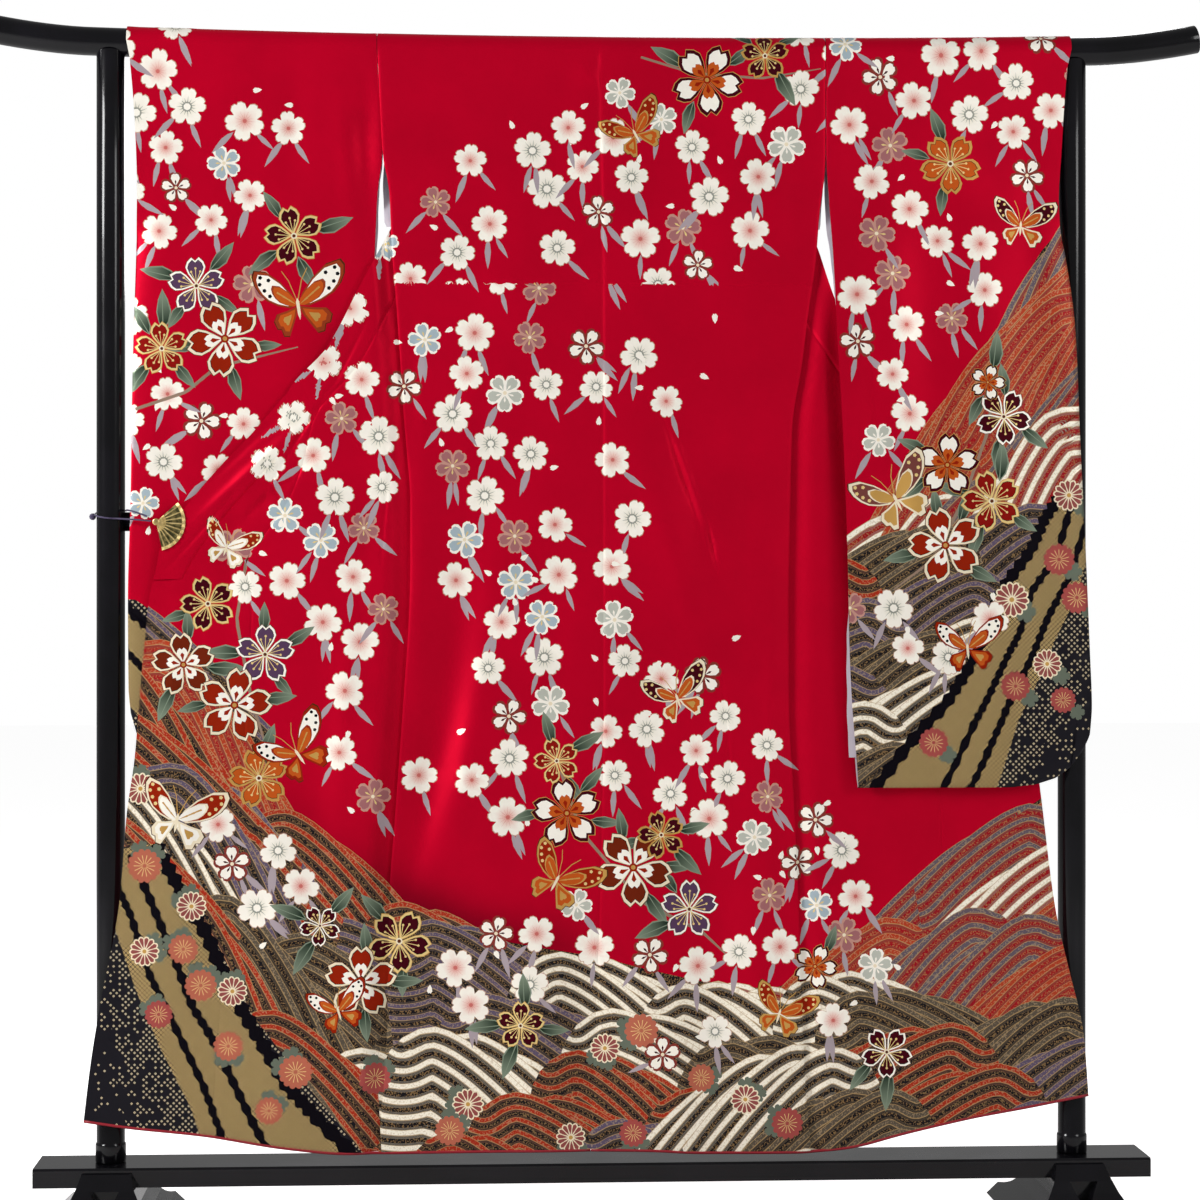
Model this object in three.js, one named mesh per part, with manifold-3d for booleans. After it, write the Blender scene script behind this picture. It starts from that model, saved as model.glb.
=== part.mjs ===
// Furisode kimono hung back to front over a lacquered kimono stand. Millimetres, +Z up.
// X runs along the stand's top bar, the kimono's back faces -Y and the floor is Z = 0.
// "left" is the side at -X. Both front panels are opened outwards about the side seams:
// the left one lies before its sleeve, the right one behind its sleeve.
import * as THREE from 'three';
import * as BufferGeometryUtils from 'three/addons/utils/BufferGeometryUtils.js';
import Module from 'manifold-3d';

const wasm = await Module();
wasm.setup();

// ---------------------------------------------------------------- driving dimensions
const CLOTH = 1.6; // outer silk, lining and what lies between them
const GAP = 0.3; // between neighbouring pieces
const SEAM = 0.8; // between the middle surfaces' edges of two sewn pieces
const BAR = {
  radius: 20, z: 1671.5, halfLength: 870,
  arch: 8.5, archSpan: 690, tipStart: 720, tipRun: 150, tipRise: 15, tipPower: 1.7,
};
const POST = { x: 688, radius: 20, footRadius: 21.5, footHeight: 28, footBevel: 3, topZ: 1675 };
const RAIL = { z: 1000, height: 27, depth: 18 };
const BOARD = { halfLength: 791, depth: 100, bottomZ: 66, height: 27, bevel: 3 };
const FOOT = {
  halfDepth: 165, toeHeight: 16, topHalfWidth: 34, baseHalfWidth: 92, lip: 20, lipDepth: 26,
  lipWidth: 6, toeReach: 14, toeRise: 8, waistReach: 12, waistZ: 40, curve: 5,
  grooveHalfWidth: 20, grooveDepth: 14, grooveTip: 24,
};
const HANG = BAR.radius + 1.9; // radius of the cloth's middle where it passes over the bar
const HEM_Z = 100; // nominal height of the hem, before its own curve
const HEM_RUN = 420; // height over which the hem's curve fades out
const FRONT_WIDTH = 230; // flat width of a front panel from side seam to its inner edge
const SEAM_TUCK = 6; // least width folded in behind the side seam
const LAYER = 4.5; // between the two layers of a front panel folded behind the back
const BEHIND_BACK = 0.6; // room between the back and the front panel at the side seam
const SEAM_RUN = 70; // how far inwards of the seam that room opens out
const TURN_OUT = { clear: 4, run: 28 }; // outside the seam, where the opened front comes forward
const COLLAR_WIDTH = 50;
const COLLAR_LIFT = { height: 3, share: 1 / 3, run: 20 }; // band off the panel that it lies over
const NECK = { halfWidth: 88, clear: 1.5, lift: 0.9, narrowing: 0.42, tilt: 1 };
const PIPING = { height: 4, thickness: 3 };
const LINING = { thickness: 1, behindSleeve: 0.6, behindBack: 1.3 };
const SLEEVE_LINING_STEPS = [12, 26]; // columns of lining within the sleeve's edge
const BODY_LINING_STEPS = [10, 24];
const CLIP = {
  x: -621, y: -32.7, z: 999, radius: 41, thickness: 2.4, behind: -28.85, backThickness: 1.2,
  ribs: 9, ribHeight: 1, ribWidth: 1.4, ribInset: 3, ribMargin: 1.5, scallop: 1.5, from: -78, to: 42,
  pinRadius: 4.5, pinFacets: 14, backInset: 3, backNarrower: 6,
};
const CORD = { radius: 1.3, clear: 0.9, aboveRail: 1.2, knotRadius: 5 };
const CORD_TURN = { from: -70, to: -340, step: 22.5, settle: 200 }; // degrees round the post
const ROUND = 24; // facets round a post

const SILK_RED = 0xc30023;
const LINING_WHITE = 0xd8d2da;
const PIPING_CRIMSON = 0xa01030;
const BLACK_LACQUER = 0x0b0b0e;
const OLD_BRASS = 0x8a7a45;
const CORD_PURPLE = 0x2a2050;
const SATIN = 0.45; // roughness
const PLAIN_SILK = 0.5;
const GLOSS = 0.18;
const WORN_GLOSS = 0.25;

// Where the side seam and the front panel's inner edge lie at each height.
const BODY = {
  left: [
    { z: 1700, side: -311, front: -NECK.halfWidth },
    { z: 1671.5, side: -311, front: -NECK.halfWidth },
    { z: 1570, side: -306, front: -150 },
    { z: 1519, side: -303, front: -178 },
    { z: 1469, side: -294, front: -206 },
    { z: 1383, side: -290, front: -252 },
    { z: 1310, side: -284, front: -290 },
    { z: 1223, side: -278, front: -336 },
    { z: 1145, side: -273, front: -400 },
    { z: 1087, side: -268, front: -414 },
    { z: 1031, side: -264, front: -435 },
    { z: 981, side: -264, front: -469 },
    { z: 941, side: -264, front: -496 },
    { z: 889, side: -265, front: -487 },
    { z: 743, side: -274, front: -494 },
    { z: 578, side: -286, front: -506 },
    { z: 461, side: -294, front: -514 },
    { z: 294, side: -296, front: -531 },
    { z: HEM_Z, side: -309, front: -544 },
  ],
  right: [
    { z: 1700, side: 328, front: NECK.halfWidth },
    { z: 1671.5, side: 328, front: NECK.halfWidth },
    { z: 1570, side: 328, front: 165 },
    { z: 1517, side: 328, front: 195 },
    { z: 1438, side: 319, front: 238 },
    { z: 1374, side: 314, front: 271 },
    { z: 1290, side: 302, front: 300 },
    { z: 1225, side: 294, front: 340 },
    { z: 1135, side: 280, front: 406 },
    { z: 1003, side: 277, front: 442 },
    { z: 889, side: 275, front: 470 },
    { z: 746, side: 275, front: 485 },
    { z: 603, side: 282, front: 492 },
    { z: 474, side: 288, front: 499 },
    { z: 345, side: 292, front: 514 },
    { z: 202, side: 298, front: 529 },
    { z: HEM_Z, side: 306, front: 541 },
  ],
};

// The okumi's outer edge: the collar seam down to the collar's end, then the free front edge.
// Its inner edge is the front panel's.
const OKUMI = {
  left: [
    { z: 1145, edge: -402 }, { z: 1087, edge: -452 }, { z: 1049, edge: -489 }, { z: 981, edge: -546 },
    { z: 941, edge: -573 }, { z: 918, edge: -585 }, { z: 915, edge: -626 }, { z: 830, edge: -637 },
    { z: 743, edge: -645 }, { z: 668, edge: -651 }, { z: 589, edge: -662 }, { z: 464, edge: -672 },
    { z: 303, edge: -697 }, { z: 200, edge: -711 }, { z: HEM_Z, edge: -722 },
  ],
  right: [
    { z: 1135, edge: 408 }, { z: 1070, edge: 456 }, { z: 1003, edge: 506 }, { z: 950, edge: 548 },
    { z: 932, edge: 562 }, { z: 929, edge: 600 }, { z: 889, edge: 605 }, { z: 746, edge: 620 },
    { z: 621, edge: 636 }, { z: 430, edge: 660 }, { z: 315, edge: 680 }, { z: 200, edge: 699 },
    { z: HEM_Z, edge: 706 },
  ],
};
const COLLAR_END = { left: 918, right: 932 }; // height at which the collar's seam ends

// Where the centre-back seam lies at each height.
const CENTRE_SEAM = [
  { z: 1700, x: 4 }, { z: 1315, x: 10 }, { z: 747, x: 10 }, { z: 497, x: 6 }, { z: HEM_Z, x: -8 },
];

// Height of the hem along X.
const HEM = [
  { x: -730, z: 159 }, { x: -658, z: 148 }, { x: -560, z: 137 }, { x: -434, z: 116 },
  { x: -349, z: 108 }, { x: -109, z: 109 }, { x: 76, z: 108 }, { x: 148, z: 104 },
  { x: 291, z: 103 }, { x: 362, z: 109 }, { x: 434, z: 127 }, { x: 542, z: 151 },
  { x: 622, z: 165 }, { x: 710, z: 182 },
];

// Sleeves: inner edge, outer edge of the near and of the far layer, and each layer's depth.
const SLEEVE = {
  left: [
    { z: 1671.5, inner: -311.8, outer: -664, outerFar: -664, near: -21.9, far: 21.9 },
    { z: 1652, inner: -310.9, outer: -659, outerFar: -659, near: -21.9, far: 21.9 },
    { z: 1519, inner: -303.8, outer: -650, outerFar: -650, near: -20.5, far: 17 },
    { z: 1471, inner: -310, outer: -649, outerFar: -649, near: -19, far: 12 },
    { z: 1390, inner: -314, outer: -651, outerFar: -651, near: -17.5, far: 2 },
    { z: 1200, inner: -321, outer: -656, outerFar: -656, near: -19, far: -8 },
    { z: 1040, inner: -328, outer: -658, outerFar: -658, near: -20.4, far: -13.2 },
    { z: 889, inner: -332, outer: -662, outerFar: -662, near: -20.4, far: -13.2 },
    { z: 762, inner: -336, outer: -661, outerFar: -661, near: -20.4, far: -13.2 },
    { z: 730, inner: -337, outer: -658, outerFar: -658, near: -20.4, far: -13.2 },
    { z: 698, inner: -339, outer: -649, outerFar: -649, near: -20.4, far: -13.2 },
    { z: 675, inner: -341, outer: -635, outerFar: -635, near: -20.4, far: -13.2 },
    { z: 658, inner: -343, outer: -612, outerFar: -612, near: -20.4, far: -13.2 },
    { z: 647, inner: -344, outer: -582, outerFar: -582, near: -20.4, far: -13.2 },
    { z: 642, inner: -345, outer: -545, outerFar: -545, near: -20.4, far: -13.2 },
  ],
  right: [
    { z: 1671.5, inner: 328.8, outer: 683, outerFar: 655, near: -21.9, far: 21.9 },
    { z: 1652, inner: 328.8, outer: 677, outerFar: 652, near: -22.4, far: 21.9 },
    { z: 1519, inner: 328.8, outer: 667, outerFar: 650, near: -24, far: 14 },
    { z: 1460, inner: 332, outer: 663, outerFar: 660, near: -28, far: -2 },
    { z: 1420, inner: 334, outer: 664, outerFar: 664, near: -34, far: -16 },
    { z: 1388, inner: 336, outer: 670, outerFar: 670, near: -39, far: -26 },
    { z: 1274, inner: 341, outer: 684, outerFar: 684, near: -47, far: -34 },
    { z: 1103, inner: 350, outer: 691, outerFar: 691, near: -51, far: -36 },
    { z: 960, inner: 355, outer: 698, outerFar: 698, near: -52, far: -37 },
    { z: 818, inner: 358, outer: 704, outerFar: 704, near: -52, far: -37 },
    { z: 735, inner: 362, outer: 707, outerFar: 707, near: -52, far: -37 },
    { z: 697, inner: 365, outer: 704, outerFar: 704, near: -52, far: -37 },
    { z: 675, inner: 367, outer: 694, outerFar: 694, near: -52, far: -37 },
    { z: 650, inner: 369, outer: 675, outerFar: 675, near: -52, far: -37 },
    { z: 635, inner: 370, outer: 654, outerFar: 654, near: -52, far: -37 },
    { z: 626, inner: 371, outer: 625, outerFar: 625, near: -52, far: -37 },
    { z: 622, inner: 371, outer: 590, outerFar: 590, near: -52, far: -37 },
  ],
};

// Lining that shows: how far it reaches past the sleeve's inner edge and past the side seam.
const SLEEVE_LINING = {
  left: [{ z: 1500, reach: 0 }, { z: 1450, reach: 2 }, { z: 1390, reach: 2 }, { z: 1290, reach: 0 }],
  right: [
    { z: 1500, reach: 0 }, { z: 1440, reach: 4 }, { z: 1388, reach: 3 }, { z: 1274, reach: 0 },
    { z: 1103, reach: 0 }, { z: 960, reach: 1 }, { z: 818, reach: 4 }, { z: 735, reach: 9 },
    { z: 665, reach: 11 },
  ],
};
const BODY_LINING = {
  left: [{ z: 1512, reach: 0 }, { z: 1469, reach: 9 }, { z: 1425, reach: 9 }, { z: 1418, reach: 6 }],
  right: [{ z: 1510, reach: 0 }, { z: 1469, reach: 3 }, { z: 1425, reach: 3 }, { z: 1418, reach: 2 }],
};

const CUFF = { z: 1460, run: 60 }; // lower end of the cuff opening, and how fast it closes
const SLEEVE_EDGE = { run: 34, rest: 1.4 }; // where the sleeve's two layers close on each other

// Depth of the hanging cloth: the back, the far side of the bar and the opened fronts.
const DEPTH = [
  { z: 1700, back: -21.9, far: 21.9, left: -30, right: -26 },
  { z: 1640, back: -21.9, far: 21.9, left: -30, right: -26 },
  { z: 1519, back: -22.4, far: 17, left: -30, right: -26 },
  { z: 1392, back: -23, far: 6, left: -30, right: -26 },
  { z: 1200, back: -24, far: -8, left: -30, right: -26 },
  { z: 1040, back: -25, far: -17, left: -30, right: -26 },
  { z: 900, back: -25.5, far: -20.5, left: -30, right: -26 },
  { z: HEM_Z, back: -27, far: -22, left: -31, right: -27 },
];
const SIDE_OPENING = { top: 1519, bottom: 1392 }; // free side edges under the sleeve seam

// Soft folds. Depth is negative towards the viewer of the back; lean is dx/dz.
const FOLDS = [
  { x: -205, z: 760, width: 46, length: 460, lean: 0.14, depth: 7 },
  { x: -150, z: 640, width: 34, length: 330, lean: 0.1, depth: -5 },
  { x: -222, z: 560, width: 26, length: 260, lean: 0.3, depth: -6 },
  { x: -90, z: 300, width: 50, length: 330, lean: -0.04, depth: -7 },
  { x: -10, z: 280, width: 36, length: 300, lean: 0.02, depth: 6 },
  { x: 90, z: 330, width: 52, length: 380, lean: -0.06, depth: -6 },
  { x: 170, z: 360, width: 34, length: 330, lean: -0.03, depth: 6 },
  { x: 232, z: 420, width: 30, length: 380, lean: 0, depth: -5 },
  { x: 110, z: 960, width: 26, length: 210, lean: -0.3, depth: -4 },
  { x: 60, z: 1250, width: 60, length: 330, lean: 0.05, depth: -3 },
  { x: -120, z: 1280, width: 60, length: 300, lean: -0.05, depth: -3 },
  { x: -18, z: 1600, width: 22, length: 130, lean: 0, depth: -2.5 },
  { x: 352, z: 1130, width: 15, length: 330, lean: -0.08, depth: 6 },
  { x: 440, z: 560, width: 40, length: 400, lean: -0.06, depth: -4 },
  { x: 560, z: 380, width: 38, length: 300, lean: -0.1, depth: -4 },
  { x: 400, z: 330, width: 34, length: 260, lean: -0.04, depth: 3 },
  { x: -484, z: 1066, width: 24, length: 90, lean: 1.08, depth: -4 },
  { x: -330, z: 640, width: 36, length: 420, lean: 0.02, depth: -4 },
  { x: -400, z: 520, width: 32, length: 380, lean: 0.06, depth: 2.5 },
  { x: -450, z: 330, width: 36, length: 280, lean: 0.08, depth: -4 },
  { x: -600, z: 400, width: 36, length: 360, lean: 0.12, depth: -4 },
];
const SLEEVE_FOLDS = [
  { x: -326, z: 1550, width: 12, length: 90, lean: 0, depth: 3 },
  { x: -430, z: 1350, width: 46, length: 260, lean: 0.04, depth: -2 },
  { x: -560, z: 1250, width: 40, length: 330, lean: 0, depth: -2 },
  { x: 420, z: 1300, width: 34, length: 300, lean: -0.03, depth: -4 },
  { x: 480, z: 1150, width: 34, length: 420, lean: -0.03, depth: 3 },
  { x: 560, z: 1200, width: 40, length: 420, lean: -0.04, depth: -4 },
  { x: 640, z: 1050, width: 30, length: 380, lean: -0.06, depth: 2 },
  { x: 400, z: 850, width: 30, length: 260, lean: -0.02, depth: -3 },
];

// The collar leaves its seam at this slope; turn swings it about the seam, 0 where it goes
// on from the panel towards the centre and 180 where it lies outside the turned panel.
const COLLAR = {
  left: [
    { z: 1681, across: 0.6, down: 0.8, turn: 20 },
    { z: 1671, across: 0.62, down: 0.78, turn: 26 },
    { z: 1645, across: 0.7, down: 0.7, turn: 48 },
    { z: 1610, across: 0.8, down: 0.6, turn: 90 },
    { z: 1570, across: 0.88, down: 0.47, turn: 140 },
    { z: 1519, across: 0.88, down: 0.47, turn: 180 },
    { z: 1250, across: 0.88, down: 0.47, turn: 180 },
    { z: 1145, across: 0.76, down: 0.65, turn: 180 },
    { z: 981, across: 0.76, down: 0.65, turn: 180 },
    { z: 941, across: 0.84, down: 0.4, turn: 180 },
    { z: 918, across: 0.8, down: 0, turn: 180 },
  ],
  right: [
    { z: 1681, across: 0.6, down: 0.8, turn: 20 },
    { z: 1671, across: 0.62, down: 0.78, turn: 26 },
    { z: 1645, across: 0.7, down: 0.7, turn: 48 },
    { z: 1610, across: 0.8, down: 0.6, turn: 90 },
    { z: 1570, across: 0.88, down: 0.47, turn: 140 },
    { z: 1519, across: 0.88, down: 0.47, turn: 180 },
    { z: 1250, across: 0.88, down: 0.4, turn: 180 },
    { z: 1135, across: 0.78, down: 0.62, turn: 180 },
    { z: 950, across: 0.78, down: 0.5, turn: 180 },
    { z: 932, across: 0.76, down: 0, turn: 180 },
  ],
};

// ---------------------------------------------------------------- rows and columns
const BACK_ROWS = [
  1640, 1590, 1519, 1440, 1350, 1250, 1130, 1010, 889, 770, 650, 540, 430, 320, 210, HEM_Z,
];
const FRONT_ROWS = {
  left: [
    1645, 1610, 1570, 1519, 1469, 1425, 1383, 1310, 1223, 1145, 1087, 1031, 981, 941, 918, 915,
    830, 743, 578, 461, 294, 200, HEM_Z,
  ],
  right: [
    1645, 1610, 1570, 1517, 1469, 1425, 1374, 1290, 1225, 1135, 1070, 1003, 950, 932, 929, 830,
    746, 603, 474, 345, 200, HEM_Z,
  ],
};
const BACK_OVER_BAR = [-90, -55, -22, 12]; // degrees about the bar, 0 at its top
const FRONT_OVER_BAR = [38, 64, 90];
const BODY_COLUMNS = 14;
const TURN_COLUMN = 5; // the front panel's column that lies on its fold
const OKUMI_COLUMNS = [0, 0.25, 0.5, 0.75, 1];
const COLLAR_COLUMNS = [0, 0.25, 0.5, 0.75, 1];
const NECK_STATIONS = [-1, -0.66, -0.33, 0, 0.33, 0.66, 1];
const SLEEVE_COLUMNS = [0, 0.12, 0.26, 0.4, 0.54, 0.68, 0.8, 0.89, 0.955, 1];
const SLEEVE_OVER_BAR = [-90, -60, -30, 0, 30, 60, 90];

// ---------------------------------------------------------------- helpers
const radians = (degrees) => degrees * Math.PI / 180;
const mix = (a, b, t) => a + (b - a) * t;
const clamp01 = (t) => Math.min(1, Math.max(0, t));
const smooth = (t) => clamp01(t) ** 2 * (3 - 2 * clamp01(t));

// Linear reading of a table's column at a height; rows run from high to low.
function at(table, column, z) {
  if (z >= table[0].z) return table[0][column];
  const next = table.findIndex((row) => row.z <= z);
  if (next < 0) return table[table.length - 1][column];
  const [high, low] = [table[next - 1], table[next]];
  return mix(low[column], high[column], (z - low.z) / (high.z - low.z));
}

function hemLift(x, z) {
  const next = Math.max(1, HEM.findIndex((point) => point.x >= x));
  const [a, b] = [HEM[next - 1], HEM[next]];
  const height = mix(a.z, b.z, clamp01((x - a.x) / (b.x - a.x)));
  return (height - HEM_Z) * (1 - smooth((z - HEM_Z) / HEM_RUN));
}

function foldDepth(folds, x, z) {
  let depth = 0;
  for (const fold of folds) {
    const along = (z - fold.z) / fold.length;
    const across = (x - fold.x - fold.lean * (z - fold.z)) / fold.width;
    if (Math.abs(along) >= 1) continue;
    depth += fold.depth * (1 - along ** 2) ** 2 * Math.exp(-(across ** 2));
  }
  return depth;
}

function barRise(x) {
  const tip = Math.max(0, (Math.abs(x) - BAR.tipStart) / BAR.tipRun);
  return BAR.arch * (x / BAR.archSpan) ** 2 + BAR.tipRise * tip ** BAR.tipPower;
}

const overBar = (x, degrees, radius = HANG) => new THREE.Vector3(
  x,
  radius * Math.sin(radians(degrees)),
  BAR.z + barRise(x) + radius * Math.cos(radians(degrees)),
);

function geometryOf(positions, triangles) {
  const geometry = new THREE.BufferGeometry();
  geometry.setAttribute('position', new THREE.Float32BufferAttribute(positions, 3));
  geometry.setIndex(triangles);
  return geometry;
}

// Closed wall of even thickness about a grid of points on its middle surface.
function wall(grid, thickness = CLOTH) {
  const rows = grid.length;
  const columns = grid[0].length;
  const index = (side, i, j) => (side * rows + i) * columns + j;
  const positions = [];
  const normals = grid.map((row, i) => row.map((point, j) => {
    const down = grid[Math.min(rows - 1, i + 1)][j].clone().sub(grid[Math.max(0, i - 1)][j]);
    const across = row[Math.min(columns - 1, j + 1)].clone().sub(row[Math.max(0, j - 1)]);
    return down.cross(across).normalize();
  }));
  for (const half of [thickness / 2, -thickness / 2]) {
    grid.forEach((row, i) => row.forEach((point, j) => {
      positions.push(...point.clone().addScaledVector(normals[i][j], half).toArray());
    }));
  }
  const triangles = [];
  const quad = (a, b, c, d) => triangles.push(a, b, c, a, c, d);
  for (let i = 0; i + 1 < rows; i++) {
    for (let j = 0; j + 1 < columns; j++) {
      quad(index(0, i, j), index(0, i + 1, j), index(0, i + 1, j + 1), index(0, i, j + 1));
      quad(index(1, i, j), index(1, i, j + 1), index(1, i + 1, j + 1), index(1, i + 1, j));
    }
    const last = columns - 1;
    quad(index(0, i, 0), index(1, i, 0), index(1, i + 1, 0), index(0, i + 1, 0));
    quad(index(0, i, last), index(0, i + 1, last), index(1, i + 1, last), index(1, i, last));
  }
  for (let j = 0; j + 1 < columns; j++) {
    const last = rows - 1;
    quad(index(0, 0, j), index(0, 0, j + 1), index(1, 0, j + 1), index(1, 0, j));
    quad(index(0, last, j), index(1, last, j), index(1, last, j + 1), index(0, last, j + 1));
  }
  return geometryOf(positions, triangles);
}

function solidOf(geometry) {
  const bare = geometry.index ? geometry.clone() : geometry;
  bare.deleteAttribute('normal');
  bare.deleteAttribute('uv');
  const merged = BufferGeometryUtils.mergeVertices(bare, 1e-4);
  return new wasm.Manifold(new wasm.Mesh({
    numProp: 3,
    vertProperties: new Float32Array(merged.attributes.position.array),
    triVerts: new Uint32Array(merged.index.array),
  }));
}

function geometryOfSolid(solid) {
  const mesh = solid.getMesh();
  return geometryOf(Array.from(mesh.vertProperties), Array.from(mesh.triVerts));
}

// Cylinder between two heights, upright or along X.
function rod(radius, from, to, alongX = false) {
  const geometry = new THREE.CylinderGeometry(radius, radius, to - from, ROUND);
  const middle = (from + to) / 2;
  if (alongX) return geometry.rotateZ(Math.PI / 2).translate(middle, 0, 0);
  return geometry.rotateX(Math.PI / 2).translate(0, 0, middle);
}

// Radius of a faceted hollow that keeps the gap to a round piece all round.
const clearRadius = (radius) => (radius + GAP) / Math.cos(Math.PI / ROUND);

const kimono = new THREE.Group();
const stand = new THREE.Group();

function add(group, name, geometry, color, roughness, metalness = 0) {
  const mesh = new THREE.Mesh(geometry, new THREE.MeshStandardMaterial({ color, roughness, metalness }));
  mesh.name = name;
  group.add(mesh);
}

// ---------------------------------------------------------------- the hanging surfaces
// "inward" is the distance from the side seam towards the centre, negative on the opened part.
const towardsCentre = (side) => (side === 'left' ? 1 : -1);

function backPoint(x, z) {
  const height = z + hemLift(x, z);
  return new THREE.Vector3(x, at(DEPTH, 'back', z) + foldDepth(FOLDS, x, z), height);
}

// Depth of the layer that hangs from the far side of the bar.
function farDepth(side, inward, z) {
  const seam = at(DEPTH, 'back', z) + CLOTH + BEHIND_BACK;
  const free = at(DEPTH, 'far', z);
  const open = smooth((z - SIDE_OPENING.bottom) / (SIDE_OPENING.top - SIDE_OPENING.bottom));
  return mix(mix(seam, free, open), free, smooth(inward / SEAM_RUN));
}

// Depth of the layer that has turned round its fold and goes outwards past the side seam.
function turnedDepth(side, inward, z) {
  const behind = farDepth(side, Math.max(0, inward), z) + LAYER;
  return mix(behind, at(DEPTH, side, z), smooth((-inward - TURN_OUT.clear) / TURN_OUT.run));
}

function turnedPoint(side, x, z) {
  const inward = (x - at(BODY[side], 'side', z)) * towardsCentre(side);
  return new THREE.Vector3(x, turnedDepth(side, inward, z) + foldDepth(FOLDS, x, z), z + hemLift(x, z));
}

// Distance of a front panel's column from the side seam, measured along the cloth.
function alongFront(j, turn, width) {
  if (j <= TURN_COLUMN) return turn * j / TURN_COLUMN;
  return mix(turn, width, (j - TURN_COLUMN) / (BODY_COLUMNS - 1 - TURN_COLUMN));
}

// One height of a front panel: it runs in behind the back, turns, and comes out past the seam.
function frontRow(side, z) {
  const seamX = at(BODY[side], 'side', z);
  const sign = towardsCentre(side);
  const inner = (at(BODY[side], 'front', z) - seamX) * sign;
  const turn = Math.max(SEAM_TUCK, (FRONT_WIDTH + inner) / 2);
  return Array.from({ length: BODY_COLUMNS }, (_, j) => {
    const along = alongFront(j, turn, 2 * turn - inner);
    const inward = Math.min(along, 2 * turn - along);
    const x = seamX + sign * inward;
    if (j > TURN_COLUMN) return turnedPoint(side, x, z);
    const half = j === TURN_COLUMN ? LAYER / 2 : 0;
    const depth = farDepth(side, inward, z) + half + foldDepth(FOLDS, x, z);
    return new THREE.Vector3(x, depth, z + hemLift(x, z));
  });
}

// Body panel: back, over the bar and down the front in one length of cloth.
function bodyGrid(side) {
  const sign = towardsCentre(side);
  const columns = Array.from({ length: BODY_COLUMNS }, (_, j) => j / (BODY_COLUMNS - 1));
  const centreX = -sign * SEAM / 2;
  const backX = (t, z) => mix(at(BODY[side], 'side', z), centreX + at(CENTRE_SEAM, 'x', z), t);
  const back = [...BACK_ROWS].reverse().map((z) => columns.map((t) => backPoint(backX(t, z), z)));
  const overBack = BACK_OVER_BAR.map((degrees) => (
    columns.map((t) => overBar(backX(t, BAR.z), degrees))));
  const seamX = at(BODY[side], 'side', BAR.z);
  const width = (at(BODY[side], 'front', BAR.z + HANG) - seamX) * sign;
  const overFront = FRONT_OVER_BAR.map((degrees) => columns.map((t, j) => (
    overBar(seamX + sign * alongFront(j, width - 2 * SEAM_TUCK, width), degrees))));
  const front = FRONT_ROWS[side].map((z) => frontRow(side, z));
  return { grid: [...back, ...overBack, ...overFront, ...front], front };
}

function okumiGrid(side) {
  const outwards = -towardsCentre(side);
  const rows = FRONT_ROWS[side].filter((z) => z <= OKUMI[side][0].z);
  return rows.map((z) => {
    const from = at(BODY[side], 'front', z) + outwards * SEAM;
    const to = at(OKUMI[side], 'edge', z);
    return OKUMI_COLUMNS.map((t) => turnedPoint(side, mix(from, to, t), z));
  });
}

// Band of the collar beyond one point of its seam, turned about the seam.
function collarStation(side, seam, z) {
  const sign = towardsCentre(side);
  const across = at(COLLAR[side], 'across', z);
  const down = at(COLLAR[side], 'down', z);
  const turn = radians(at(COLLAR[side], 'turn', z));
  const depthAt = (x, height) => (
    turnedDepth(side, (x - at(BODY[side], 'side', height)) * sign, height) + foldDepth(FOLDS, x, height));
  return COLLAR_COLUMNS.map((t) => {
    const reach = SEAM + COLLAR_WIDTH * t;
    const x = seam.x + sign * reach * across * Math.cos(turn);
    const drop = reach * down * Math.cos(turn);
    const follow = depthAt(x, z - drop) - depthAt(seam.x, z);
    const inward = (x - at(BODY[side], 'side', z)) * sign;
    const lift = COLLAR_LIFT.height * smooth(t / COLLAR_LIFT.share) * smooth(inward / COLLAR_LIFT.run);
    const swing = (reach + CLOTH) * Math.sin(turn);
    return new THREE.Vector3(x, seam.y + follow + lift + swing, seam.z - drop);
  });
}

// Stations from the side of the neck down to the collar's end.
function collarHalf(side, body) {
  const kensaki = OKUMI[side][0].z;
  const overEdge = FRONT_OVER_BAR.slice(1).map((degrees) => {
    const seam = overBar(at(BODY[side], 'front', BAR.z + HANG), degrees);
    return { z: seam.z, seam };
  });
  const upper = FRONT_ROWS[side]
    .map((z, i) => ({ z, seam: body.front[i].at(-1) }))
    .filter(({ z }) => z > kensaki);
  const okumi = okumiGrid(side);
  const lower = FRONT_ROWS[side]
    .filter((z) => z <= kensaki && z >= COLLAR_END[side])
    .map((z, i) => ({ z, seam: okumi[i].at(-1) }));
  return [...overEdge, ...upper, ...lower].map(({ z, seam }) => collarStation(side, seam, z));
}

// Round the back of the neck the band goes on over the bar and hangs from its far side.
function neckStation(x, degrees) {
  const radius = HANG + NECK.lift;
  return COLLAR_COLUMNS.map((t) => {
    const arc = radius * radians(degrees) + SEAM + COLLAR_WIDTH * t;
    const quarter = radius * Math.PI / 2;
    const xt = x * (1 - NECK.narrowing * t);
    if (arc < quarter) return overBar(xt, arc / radius * 180 / Math.PI, radius);
    return new THREE.Vector3(xt, radius, BAR.z + barRise(xt) - (arc - quarter));
  });
}

function collarGrid(bodies) {
  const [backEdge, frontEdge] = [BACK_OVER_BAR.at(-1), FRONT_OVER_BAR[0]];
  const neck = NECK_STATIONS.map((t) => (
    neckStation(t * (NECK.halfWidth - NECK.clear), mix(backEdge, frontEdge, Math.abs(t)) + NECK.tilt)));
  const left = collarHalf('left', bodies.left).reverse();
  return [...left, ...neck, ...collarHalf('right', bodies.right)];
}

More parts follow.
